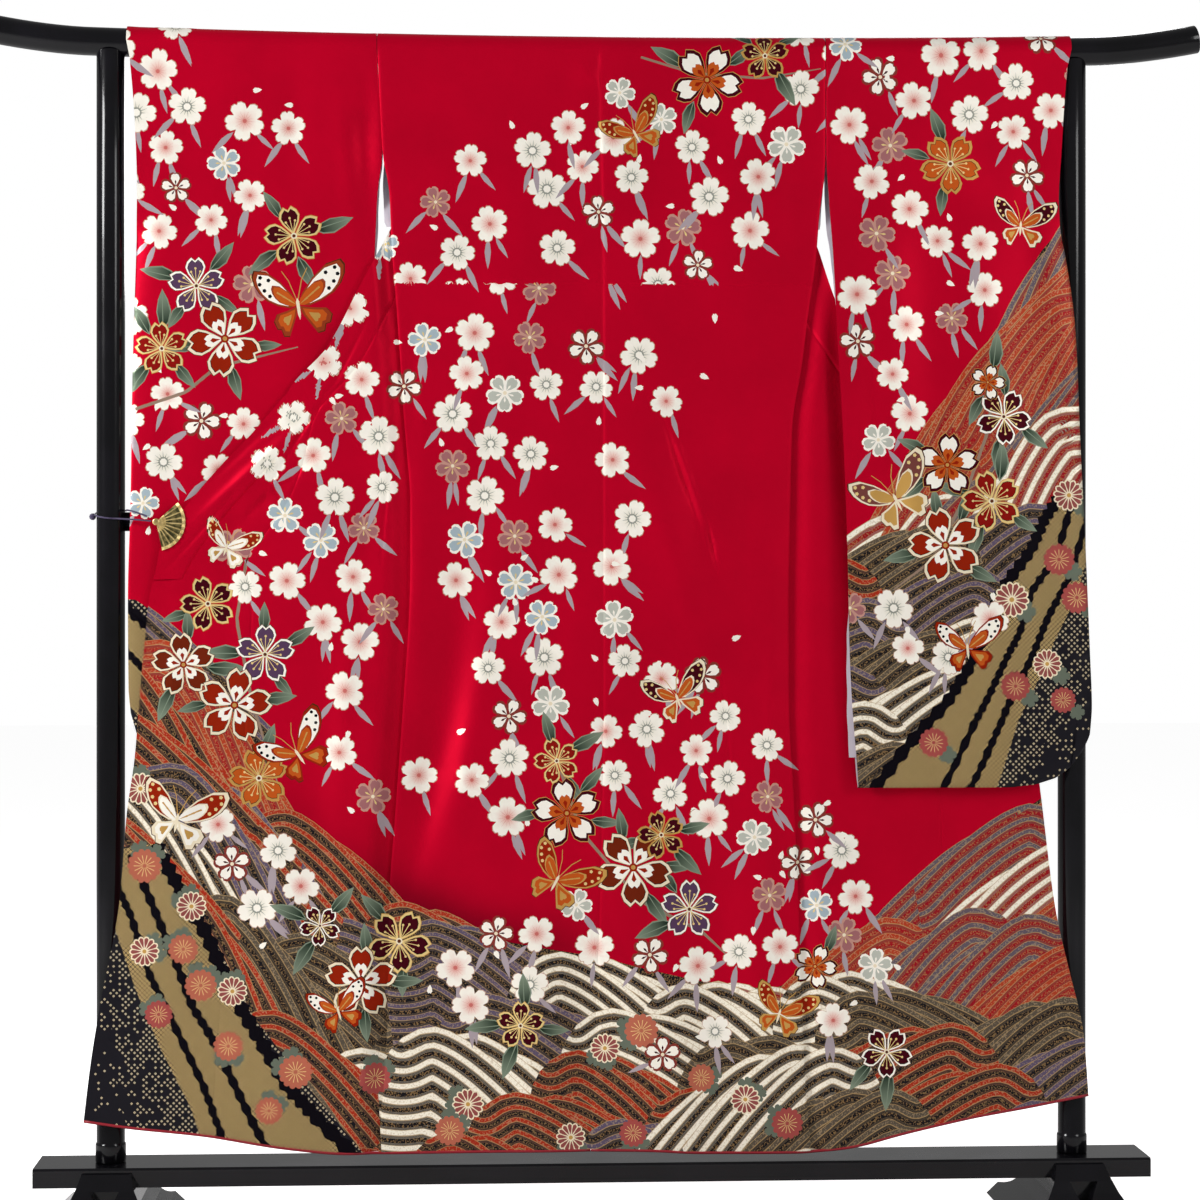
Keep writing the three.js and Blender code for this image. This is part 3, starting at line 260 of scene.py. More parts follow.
def turned_depth(side, inward, z):
    behind = far_depth(side, np.maximum(0, inward), z) + LAYER
    return mix(behind, depth_front[side](z), smooth((-inward - 4) / 28))


def turn_width(side, z):
    inner = (front_x[side](z) - side_x[side](z)) * INWARDS[side]
    return np.maximum(SEAM_TUCK, (FRONT_WIDTH + inner) / 2)


def roll(distance, depth=1.1, run=1.7):
    """How far a sewn edge sinks into its seam."""
    return depth * np.exp(-np.maximum(distance, 0) / run)


# Each surface takes flat display coordinates (x, w) in mm, where w goes on over the bar as arc
# length, and gives the cloth's outer face.
def hang_near(x, w, depth, radius=HANG + CLOTH / 2):
    height = np.where(w < BAR["z"], w + bar_rise(x) * np.clip((w - 1640) / 31.5, 0, 1), 0)
    angle = np.maximum(w - BAR["z"], 0) / HANG - math.pi / 2
    over = w >= BAR["z"]
    y = np.where(over, radius * np.sin(angle), depth)
    z = np.where(over, BAR["z"] + bar_rise(x) + radius * np.cos(angle), height)
    return np.stack([x, y, z], 1)


def body_folds(x, z):
    return fold_depth([FOLDS, FINE_FOLDS], x, z)


def raised(x, w):
    """Height of a point on the far side, which rises with the bar's bow."""
    return w + bar_rise(x) * np.clip((w - 1640) / 31.5, 0, 1)


def back_surface(side):
    def surface(x, w):
        z = nominal(x, np.minimum(w, BAR["z"]))
        depth = depth_back(z) + body_folds(x, z) - CLOTH / 2
        depth = depth + roll(abs(x - centre_x(z)) - SEAM / 2) + roll(abs(x - side_x[side](z)), 1.3, 2.2)
        under = smooth((TUCK_Z - w) / 2.5) * smooth((w - TUCK_Z + 90) / 80)
        depth = depth + 0.9 * under + 0.9 * np.exp(-((w - TUCK_Z) / 1.6) ** 2)
        return hang_near(x, w, depth)
    return surface


def front_surface(side, turned):
    def surface(x, w):
        z = nominal(x, np.minimum(w, BAR["z"]))
        inward = (x - side_x[side](z)) * INWARDS[side]
        near_fold = smooth(1 - (turn_width(side, z) - inward) / 10) ** 2
        folds = body_folds(x, z)
        if turned:
            depth = turned_depth(side, inward, z) + folds - CLOTH / 2
            depth = depth - (LAYER / 2 - CLOTH / 2) * near_fold + roll(abs(x - front_x[side](z)), 0.8)
        else:
            depth = far_depth(side, inward, z) + folds + CLOTH / 2 + (LAYER / 2 - CLOTH / 2) * near_fold
        return np.stack([x, depth, raised(x, w)], 1)
    return surface


def okumi_surface(side):
    def surface(x, w):
        z = nominal(x, w)
        inward = (x - side_x[side](z)) * INWARDS[side]
        depth = turned_depth(side, inward, z) + body_folds(x, z) - CLOTH / 2
        return np.stack([x, depth + roll(abs(x - front_x[side](z)), 0.8), w], 1)
    return surface


def sleeve_surface(side, near):
    inner, outer_near, outer_far, near_y, far_y = sleeve_of[side]
    outer = outer_near if near else outer_far
    bottom = SLEEVE[side][-1][0]

    def surface(x, w):
        z = np.minimum(w, BAR["z"])
        edge = np.minimum(1, np.abs(outer(z) - x) / EDGE_RUN)
        from_outer = mix(1, edge, smooth((CUFF_Z - z) / 60))
        from_bottom = np.clip((z - bottom) / EDGE_RUN, 0, 1)
        opened = np.sqrt(np.clip(from_outer * (2 - from_outer) * from_bottom * (2 - from_bottom), 0, 1))
        half = mix(1.3, (far_y(z) - near_y(z)) / 2 + CLOTH / 2, opened)
        middle = (near_y(z) + far_y(z)) / 2
        folds = fold_depth([SLEEVE_FOLDS, FINE_SLEEVE_FOLDS], x, z)
        depth = middle + (-half if near else half) + folds
        if near:
            sewn = roll(abs(x - inner(z)), 1.1) * smooth((z - 1500) / 30)
            return hang_near(x, w, depth + sewn)
        return np.stack([x, depth, raised(x, w)], 1)
    return surface


# ---------------------------------------------------------------- colours and print
def srgb(r, g, b, a=1.0):
    """Linear colour from display values of 0 to 255. Alpha 0 marks metal leaf."""
    return tuple(((c / 255 + 0.055) / 1.055) ** 2.4 if c > 10 else c / 255 / 12.92 for c in (r, g, b)) + (a,)


RED = srgb(186, 0, 36)
SHADE = srgb(92, 0, 20)
WHITE = srgb(252, 246, 234)
CREAM = srgb(240, 226, 196)
ROSE = srgb(166, 78, 74)
KIKU_LINED = srgb(150, 78, 74)
MAROON = srgb(66, 8, 20)
RUST = srgb(150, 34, 12)
ORANGE = srgb(196, 88, 30)
PURPLE = srgb(88, 62, 90)
SKY = srgb(168, 184, 192)
STONE = srgb(190, 192, 180)
MAUVE = srgb(164, 106, 108)
LILAC = srgb(172, 158, 164)
LEAF = srgb(28, 46, 34)
LEAF_PALE = srgb(128, 142, 122)
SAGE = srgb(104, 112, 98)
INK = srgb(14, 11, 17)
GREY_LINE = srgb(150, 152, 140)
BROWN = srgb(96, 48, 28)
GOLD = srgb(206, 160, 86, 0.2)
PALE_GOLD = srgb(236, 208, 140, 0.5)
PLAIN, WAVE, KANOKO, NIGHT = range(4)

PX = 1.43  # mm of the kimono's plane in one picture unit of the layout below


def plane(u, v):
    """Layout units (to the right and downwards) to mm on the kimono's plane."""
    return np.array([(u - 595.6) * PX, (1222 - v) * PX])


def heading(turn):
    return np.array([math.cos(turn), math.sin(turn)])


def planes(points):
    return np.array([plane(*p) for p in points])


class Item:
    """One flat shape of the print."""

    def __init__(self, points, colour, kind=PLAIN, to=None, centre=None, near=0, far=1,
                 local=None, under=INK, part=0):
        self.points = np.asarray(points, float)
        self.colour, self.to, self.centre = colour, to, centre
        self.near, self.far, self.kind = near, far, kind
        self.local, self.under, self.part = local, under, part
        self.low, self.high = self.points.min(0), self.points.max(0)

    def colours(self, points):
        out = np.empty((len(points), 4))
        out[:] = self.colour
        if self.to is not None:
            reach = np.hypot(*(points - self.centre).T)
            t = np.clip((reach - self.near) / (self.far - self.near), 0, 1)[:, None]
            out = out * (1 - t) + np.array(self.to) * t
        return out

    def locals(self, points):
        return np.zeros((len(points), 3)) if self.local is None else self.local(points)

    def covers(self, points):
        a = self.points
        b = np.roll(a, -1, 0)
        x, y = points[:, :1], points[:, 1:]
        crosses = (a[:, 1] > y) != (b[:, 1] > y)
        rise = np.where(b[:, 1] == a[:, 1], 1e-9, b[:, 1] - a[:, 1])
        return (crosses & (x < (b[:, 0] - a[:, 0]) * (y - a[:, 1]) / rise + a[:, 0])).sum(1) % 2 == 1


class Print(list):
    """The shapes of one print, from the back forwards."""

    def add(self, *shape, **look):
        self.append(Item(*shape, **look))


def placed(shape, centre, size, turn=0.0):
    """Unit shape to the plane: sized, turned and moved."""
    shape = np.asarray(shape, float) * size
    c, s = math.cos(turn), math.sin(turn)
    return shape @ np.array([[c, s], [-s, c]]) + centre


def polar(radii, angles):
    radii = np.broadcast_to(radii, np.shape(angles))
    return np.stack([radii * np.cos(angles), radii * np.sin(angles)], 1)


def rosette(petals, profile):
    """Outline of a flower: one petal's (place across it, radius) rows, repeated."""
    step = 2 * math.pi / petals
    angles = [step * (k + across) for k in range(petals) for across, _ in profile]
    return polar(np.array([r for _ in range(petals) for _, r in profile]), np.array(angles))


def ring(radius, count=12):
    return polar(radius, np.arange(count) * 2 * math.pi / count)


def mirrored(half):
    """A petal's outline from its root along one edge to its tip, and back along the other."""
    return np.array(half + [(x, -y) for x, y in half[-2:0:-1]])


FIFTH = 1.2566  # a fifth of a turn
ROUND_PETAL = [(-0.5, 0.62), (-0.38, 0.88), (-0.22, 0.99), (-0.08, 1.0), (0, 0.9), (0.08, 1.0), (0.22, 0.99),
               (0.38, 0.88)]
SMALL = rosette(5, ROUND_PETAL)
PETAL = mirrored([(0.06, 0), (0.24, -0.13), (0.44, -0.26), (0.66, -0.34), (0.84, -0.28), (0.99, -0.13),
                  (0.87, 0)])
ROUND_LOBE = mirrored([(0.14, 0), (0.34, -0.16), (0.6, -0.28), (0.82, -0.22), (0.9, -0.08), (0.85, 0)])
SPOON = mirrored([(0.12, 0), (0.3, -0.05), (0.44, -0.1), (0.56, 0)])
BLADE = np.array([(0, 0), (0.2, -0.09), (0.45, -0.125), (0.75, -0.075), (1, 0), (0.75, 0.06), (0.45, 0.09),
                  (0.2, 0.06)])
DROP = mirrored([(0, 0), (0.35, -0.22), (0.75, -0.3), (1, -0.12), (0.92, 0)])
DOT = ring(1, 5)
KIKU_PETALS = 14
KIKU_PETAL = mirrored([(0.2, 0), (0.55, -0.1), (0.8, -0.135), (0.92, 0)])
KIKU_VEIN = [(0.12, -0.012), (0.62, -0.02), (0.62, 0.02), (0.12, 0.012)]
SCALLOP = rosette(KIKU_PETALS, [(-0.5, 0.86), (-0.25, 0.97), (0, 1.0), (0.25, 0.97)])


def star(spikes, inner, outer, thin=0.16):
    """Fine lines that radiate from a flower's heart."""
    step = 2 * math.pi / spikes
    angles, radii = [], []
    for k in range(spikes):
        reach = outer * (1 if k % 2 else 0.8)
        for across, radius in ((-0.5, inner), (-thin, inner * 1.1), (0, reach), (thin, inner * 1.1)):
            angles.append(step * (k + across))
            radii.append(radius)
    return polar(np.array(radii), np.array(angles))


def blossom(items, centre, size, kind, turn, part=0):
    """Small cherry blossom."""
    def add(shape, colour, scale=1.0, extra=0.0, **look):
        items.add(placed(shape, centre, size * scale, turn + extra), colour, part=part, **look)

    if kind in ("pink", "pale"):
        pink = kind == "pink"
        fade = dict(to=WHITE, centre=centre, near=0.08 * size, far=0.62 * size)
        add(SMALL, srgb(206, 170, 150), 1.05)
        for shape in (SMALL, ring(0.5, 8)):
            add(shape, srgb(232, 170, 158) if pink else srgb(226, 220, 202), **fade)
        add(star(15, 0.1 if pink else 0.26, 0.62), srgb(208, 112, 106) if pink else GREY_LINE)
        if not pink:
            add(ring(0.2, 7), WHITE)
        return
    outline, lobe, stamen = SMALL_FINISHES[kind]
    add(SMALL, outline)
    for k in range(5):
        add(ROUND_LOBE, lobe, 1.0, k * FIFTH)
        add(SPOON * [0.9, 0.55], stamen, 1.0, k * FIFTH)
    add(ring(0.11, 6), CREAM)


def great_blossom(items, centre, size, edge, fill, heart, turn):
    """Large cherry blossom with broad outlined petals."""
    def add(colour, share, pivot, extra, shape=PETAL):
        shape = (np.asarray(shape) - [pivot, 0]) * share + [pivot, 0]
        items.add(placed(shape, centre, size, turn + extra), colour)

    turns = [k * FIFTH for k in range(5)]
    for colour, share in ((BROWN if edge in (CREAM, WHITE) else GOLD, 1.08), (edge, 1.03)):
        for extra in turns:
            add(colour, share, 0.5, extra)
    for extra in turns:
        add(MAROON if fill == WHITE else INK, 0.84, 0.55, extra)
        add(fill, 0.79, 0.55, extra)
        if heart is not None:
            add(heart, 0.5, 0.08, extra)
            add(RUST if heart != RUST else GOLD, 0.62, 0.1, extra, SPOON)
            continue
        for offset, reach in ((-0.16, 0.5), (0, 0.62), (0.16, 0.5)):
            spot = centre + placed([(reach * size, offset * size)], (0, 0), 1, turn + extra)[0]
            items.add(placed(DOT, spot, 1.9), PALE_GOLD)
            stem = [(0.1, -0.01), (reach, offset - 0.014), (reach, offset + 0.014), (0.1, 0.01)]
            items.add(placed(stem, centre, size, turn + extra), PALE_GOLD)
    items.add(placed(ring(0.11, 10), centre, size), RUST if heart is not None else CREAM)
    items.add(placed(ring(0.06, 8), centre, size), GOLD if heart is not None else BROWN)


def kiku(items, centre, size, fill, lined, turn):
    """Chrysanthemum, with or without drawn petals."""
    def add(shape, colour, extra=0.0):
        items.add(placed(shape, centre, size, turn + extra), colour)

    add(SCALLOP, CREAM if lined else fill)
    shape, colour = (KIKU_PETAL, fill) if lined else (KIKU_VEIN, PALE_GOLD)
    for k in range(KIKU_PETALS):
        add(shape, colour, k * 2 * math.pi / KIKU_PETALS)
    if lined:
        add(ring(0.14, 8), GOLD)


def great_leaf(items, root, length, turn):
    tip = np.asarray(root) + length * heading(turn)
    items.add(placed(BLADE * [1, 1.7], root, length, turn), LEAF_PALE)
    inner = placed(BLADE * [0.94, 1.4] + [0.03, 0], root, length, turn)
    items.add(inner, LEAF_PALE, to=LEAF, centre=tip, near=0.1 * length, far=0.85 * length)
    rib = placed([(0.03, -0.014), (0.85, -0.006), (0.85, 0.006), (0.03, 0.014)], root, length, turn)
    items.add(rib, LEAF_PALE)


UPPER_WING = np.array([(0.02, 0.0), (0.12, 0.22), (0.36, 0.5), (0.68, 0.74), (0.98, 0.8), (1.05, 0.68),
                       (1.02, 0.5), (0.92, 0.32), (0.76, 0.16), (0.5, 0.03), (0.22, -0.05)])
LOWER_WING = np.array([(0.02, -0.03), (0.3, -0.1), (0.56, -0.14), (0.66, -0.28), (0.6, -0.44), (0.5, -0.46),
                       (0.46, -0.6), (0.32, -0.62), (0.2, -0.42), (0.08, -0.22)])


def butterfly(items, centre, size, edge, band, heart, turn, fold=0.8):
    def shrunk(wing, share, shift):
        return (wing - wing.mean(0)) * share + wing.mean(0) * shift

    for across in ([1.0, 1.0], [-fold, 1.0]):
        def add(shape, colour):
            items.add(placed(np.asarray(shape) * across, centre, size, turn), colour)

        add(LOWER_WING * 1.03, srgb(80, 40, 20))
        add(LOWER_WING, edge)
        add(shrunk(LOWER_WING, 0.74, 0.94), heart)
        add(shrunk(LOWER_WING, 0.36, 0.88), GOLD)
        add(UPPER_WING * 1.03, srgb(80, 40, 20))
        add(UPPER_WING, edge)
        add(shrunk(UPPER_WING, 0.86, 0.97), band)
        add(UPPER_WING * [0.6, 0.58], edge)
        add(UPPER_WING * [0.55, 0.53], heart)
        for reach in (0.14, 0.24, 0.34):
            add([(0.03, 0.0), (reach * 1.4, reach * 0.95), (reach * 1.4 + 0.03, reach * 0.95 - 0.03)], GOLD)
        for spot in ((0.86, 0.66), (0.9, 0.52), (0.8, 0.38), (0.68, 0.25), (0.66, 0.58)):
            at = placed([np.array(spot) * across], centre, size, turn)[0]
            items.add(placed(DOT, at, 0.045 * size), PALE_GOLD if band != WHITE else INK)
        add([(0.0, 0.02), (0.16, 0.5), (0.3, 0.72), (0.29, 0.735), (0.14, 0.51), (-0.02, 0.03)], GOLD)
    body = [(0, 0.14), (0.035, 0.06), (0.03, -0.2), (0, -0.32), (-0.03, -0.2), (-0.035, 0.06)]
    items.add(placed(body, centre, size, turn), CREAM)


CREST = 0.3


def path_distance(points, line):
    best = np.full(len(points), 1e9)
    for a, b in zip(line[:-1], line[1:]):
        d = b - a
        t = np.clip(((points - a) @ d) / (d @ d), 0, 1)
        best = np.minimum(best, np.hypot(*(points - a - t[:, None] * d).T))
    return best


def swell(items, crest, width, height, turn, flip, stripe, ground, period, behind, slope):
    """One swell: arched stripes that rise fast and fall away slowly, more of them coming from behind."""
    rise = polar(1.0, np.linspace(math.pi, math.pi / 2, 6)) * [CREST, 1] + [CREST, 0]
    t = np.linspace(0, 1, 10)[1:]
    fall = np.stack([CREST + (1 - CREST) * t, 1 - 1.55 * t ** 1.45], 1)
    arch = np.concatenate([rise, fall]) - [CREST, 1]
    skirt = np.array([(0.62, -2.6), (-CREST + 0.04, -2.2)])
    sense = np.array([-1.0 if flip else 1.0, 1.0])
    for k in range(behind, -1, -1):
        fall_away = 0.2 * k * width * min(1.5, max(0.0, math.tan(slope) * sense[0]))
        offset = crest + [0.2 * k * width * sense[0], height * (0.16 * k - 0.1 * k * k) - fall_away]
        line = placed(arch * [width, height] * sense, offset, 1, turn)
        outline = np.concatenate([line, placed(skirt * [width, height] * sense, offset, 1, turn)])
        phase = (crest[0] + crest[1]) % 5

        def local(points, line=line):
            reach = path_distance(points, line[3:]) / period
            return np.stack([reach, np.full(len(points), phase), np.zeros(len(points))], 1)

        items.add(outline, stripe, WAVE, local=local, under=ground)


def flat_local(density_from=None, density_to=None):
    def local(points):
        density = np.ones(len(points))
        if density_from is not None:
            a, b = np.asarray(density_from, float), np.asarray(density_to, float)
            density = 1 - np.clip(((points - a) @ (b - a)) / ((b - a) @ (b - a)), 0, 1)
        return np.stack([points[:, 0], points[:, 1], density], 1)
    return local


def ribbon(centres, widths, rag=0.06, count=26):
    """Polygon about a bent centre line in layout units, with a ragged edge."""
    line = np.array(centres, float)
    t = np.linspace(0, len(line) - 1, count)
    u = np.interp(t, range(len(line)), line[:, 0])
    v = np.interp(t, range(len(line)), line[:, 1])
    w = np.interp(t, range(len(line)), widths) / 2
    tangent = np.stack([np.gradient(u), np.gradient(v)], 1)
    normal = np.stack([-tangent[:, 1], tangent[:, 0]], 1) / np.hypot(*tangent.T)[:, None]
    ragged = 1 + rag * np.where(np.arange(count) % 2, 1, -1)
    left = np.stack([u, v], 1) + normal * (w * ragged)[:, None]
    right = np.stack([u, v], 1) - normal * (w * ragged)[:, None]
    outline = np.concatenate([left, right[::-1]])
    return planes(outline)


def tie_dyed(items, edge, gaps, night, dense, sparse):
    """Tie-dyed bands between ragged black gaps, and the loose dots beside them, in layout units."""
    items.add(planes(night), GOLD, NIGHT, local=flat_local(plane(*dense), plane(*sparse)))
    items.add(planes(edge + gaps[0][0][::-1]), GOLD, KANOKO, local=flat_local())
    for path, width in gaps:
        items.add(ribbon(path, [width] * len(path), 0.34, 56), INK)


SWELLS = {  # stripe and ground of each kind of swell
    "cream": (srgb(248, 240, 222), INK), "rust": (srgb(166, 40, 16), INK), "plum": (srgb(90, 78, 102), INK),
    "taupe": (srgb(86, 76, 64), INK), "ember": (srgb(176, 58, 28), srgb(158, 8, 22)),
    "foam": (srgb(248, 240, 222), srgb(150, 6, 22)), "mist": (srgb(96, 84, 94), srgb(150, 8, 26)),
}
FALL_REACH = 105  # layout units over which a swell follows its line
REST = math.radians(34)  # how steeply a swell falls away before it is turned


def sea(items, outline, start, stop, rows, kinds, pitch, chance, flip=False, size=(176, 60), behind=(2, 3)):
    """Rows of swells under a top line given in layout units, painted from the back forwards."""
    top = Curve(outline)
    order = np.arange(start, stop, pitch[0])
    for row in range(rows):
        for u in (order[::-1] if flip else order):
            uu = u + (row % 2) * pitch[0] / 2 + chance.uniform(-0.14, 0.14) * pitch[0]
            grow = chance.uniform(0.86, 1.2)
            ahead = -FALL_REACH if flip else FALL_REACH
            slope = math.atan(float(top(uu + ahead) - top(uu)) / ahead)
            turn = -math.copysign(max(0.0, abs(slope) - REST), slope) + chance.uniform(-0.1, 0.1)
            v = float(top(uu)) + row * pitch[1] + chance.uniform(-5, 5)
            stripe, ground = SWELLS[chance.choice(kinds[min(row, len(kinds) - 1)])]
            swell(items, plane(uu, v), size[0] * grow * PX, size[1] * grow * PX, turn, flip, stripe, ground,
                  chance.uniform(17, 22), chance.choice(behind), slope)


def dark_water(items, outline):
    """Ground of the sea, which shows where no swell lies."""
    items.add(planes(outline), INK, WAVE, under=INK, local=lambda points: np.full((len(points), 3), 0.7))


SMALL_FINISHES = {  # outline, petals and heart of the small blossoms
    "lined": (srgb(134, 54, 46), WHITE, MAROON), "blue": (WHITE, SKY, PALE_GOLD),
    "stone": (WHITE, STONE, WHITE), "lattice": (srgb(196, 146, 132), MAUVE, PALE_GOLD),
}
SMALL_KINDS = ["pink"] * 10 + ["pale"] * 7 + ["lined"] * 3 + ["blue"] * 2 + ["stone"] * 2 + ["lattice"] * 3


def drift(items, taken, path, half_width, count, chance, part_line=None, gap=40):
    """Blossoms scattered along a path in layout units, each with hanging leaves."""
    path = np.array(path, float)
    lengths = np.hypot(*np.diff(path, axis=0).T)
    reach = np.concatenate([[0], np.cumsum(lengths)])
    made = tries = 0
    while made < count and tries < count * 60:
        tries += 1
        s = chance.uniform(0, reach[-1])
        u = np.interp(s, reach, path[:, 0]) + chance.gauss(0, half_width * 0.55)
        v = np.interp(s, reach, path[:, 1]) + chance.gauss(0, half_width * 0.4)
        if any((u - a) ** 2 + (v - b) ** 2 < (gap if r < 26 else r + 18) ** 2 for a, b, r in taken):
            continue
        taken.append((u, v, 18))
        made += 1
        size = chance.uniform(15.5, 19.5) * PX
        part = 0
        if part_line is not None and abs(v - part_line) < 20:
            part = chance.choice((1, 2))
        centre = plane(u, v)
        for _ in range(chance.choice((1, 2, 2, 2))):
            turn = -math.pi / 2 + chance.uniform(-0.95, 0.95)
            root = centre + 0.8 * size * heading(turn)
            length = chance.uniform(24, 33) * PX
            items.add(placed(BLADE * [1, 0.95], root, length, turn + chance.uniform(-0.25, 0.25)),
                      LILAC, part=part)
        blossom(items, centre, size, chance.choice(SMALL_KINDS), chance.uniform(0, 1.25), part)
        if chance.random() < 0.5:
            spot = centre + np.array([chance.uniform(-32, 32), chance.uniform(-38, 32)]) * PX
            items.add(placed(DROP, spot, 9 * PX, chance.uniform(0, 6.28)), WHITE, part=part)


def scatter(items, taken, chance, rows):
    """Drifts, given as path, half width, number of blossoms and, if need be, the tuck's line."""
    for path, half_width, count, *part_line in rows:
        drift(items, taken, path, half_width, count, chance, *part_line)


FINISHES = {  # edge, fill and heart of the large blossoms
    "rust": (CREAM, RUST, WHITE), "wine": (PALE_GOLD, MAROON, None), "plum": (WHITE, PURPLE, None),
    "ivory": (MAROON, WHITE, ORANGE), "amber": (GOLD, ORANGE, None), "night": (GOLD, MAROON, None),
    "blood": (PALE_GOLD, srgb(140, 20, 16), None), "bark": (CREAM, srgb(112, 36, 16), WHITE),
    "dusk": (WHITE, MAROON, None),
}


def great(items, taken, rows, chance):
    for u, v, size, finish in rows:
        taken.append((u, v, size))
        centre = plane(u, v)
        start = chance.uniform(0, 6.28)
        for k in range(4):
            turn = start + k * 1.57 + chance.uniform(-0.4, 0.4)
            root = centre + 0.75 * size * PX * heading(turn)
            if chance.random() < 0.72:
                great_leaf(items, root, chance.uniform(30, 42) * PX, turn + chance.uniform(-0.3, 0.3))
    for u, v, size, finish in rows:
        great_blossom(items, plane(u, v), 1.08 * size * PX, *FINISHES[finish], chance.uniform(0, 1.25))


def twig(items, points, width=2.4):
    items.add(ribbon(points, [width * 1.3] * (len(points) - 1) + [width * 0.5]), srgb(150, 126, 108))


BODY_GREAT = [(706, 82, 33, "ivory"), (764, 58, 22, "night"), (212, 604, 25, "wine"),
              (188, 664, 29, "bark"), (268, 654, 27, "plum"), (238, 704, 34, "rust"),
              (262, 776, 27, "amber"), (566, 812, 32, "ivory"), (632, 866, 36, "bark"),
              (660, 834, 22, "night"), (688, 908, 27, "plum"), (556, 760, 21, "blood"),
              (400, 938, 29, "wine"), (362, 978, 33, "rust"), (520, 1022, 22, "wine"),
              (886, 1052, 24, "dusk"), (814, 966, 21, "ivory"), (322, 922, 19, "dusk")]
BODY_FLIERS = [(634, 136, 34, "plain", 0.5), (230, 548, 30, "rust", -0.3), (300, 752, 40, "cream", 0.6),
               (182, 816, 44, "rust", -0.2), (340, 1006, 32, "cream", 0.3), (556, 878, 40, "plain", -0.5),
               (676, 698, 36, "dark", 0.35), (778, 1012, 34, "plain", -0.3)]
WINGS = {"plain": (GOLD, RUST, ORANGE), "rust": (CREAM, RUST, WHITE), "cream": (RUST, WHITE, ORANGE),
         "dark": (CREAM, MAROON, ORANGE), "brown": (CREAM, srgb(120, 66, 60), GOLD)}
SLEEVE_LEFT_GREAT = [(296, 240, 27, "wine"), (200, 290, 26, "plum"), (228, 342, 35, "rust"),
                     (166, 352, 24, "blood")]
SLEEVE_RIGHT_GREAT = [(950, 164, 28, "amber"), (1000, 418, 26, "dusk"), (944, 466, 29, "ivory"),
                      (988, 502, 28, "blood"), (942, 546, 35, "rust"), (984, 384, 17, "ivory")]
BODY_KIKU = [(146, 786, 16, 1), (196, 902, 15, 1), (236, 986, 15, 1), (150, 946, 15, 1), (468, 1100, 16, 1),
             (570, 1134, 15, 1), (604, 1046, 15, 1), (744, 1098, 15, 1), (188, 944, 15, 0),
             (205, 980, 16, 0), (164, 1008, 14, 0), (232, 1040, 15, 0), (298, 1066, 17, 0),
             (376, 1074, 16, 0), (272, 1104, 14, 0), (640, 1028, 17, 0), (786, 1122, 16, 0),
             (450, 1126, 15, 0), (150, 862, 17, 0), (632, 1130, 14, 0), (700, 1076, 14, 0)]
RIGHT_KIKU = [(1066, 496, 16, 1), (1008, 600, 18, 1), (1044, 664, 15, 1), (1056, 560, 16, 0),
              (1074, 598, 16, 0), (1012, 686, 15, 0), (930, 742, 15, 0), (1060, 700, 13, 0)]


SEA_LINE = [(60, 560), (150, 612), (215, 690), (270, 780), (335, 855), (400, 900), (480, 934), (600, 956),
            (700, 980), (770, 988), (830, 968), (890, 910), (950, 868), (1000, 828), (1060, 786),
            (1120, 770)]
SEA_LINE_LOW = [(800, 1050), (900, 1040), (1000, 1010), (1120, 990)]


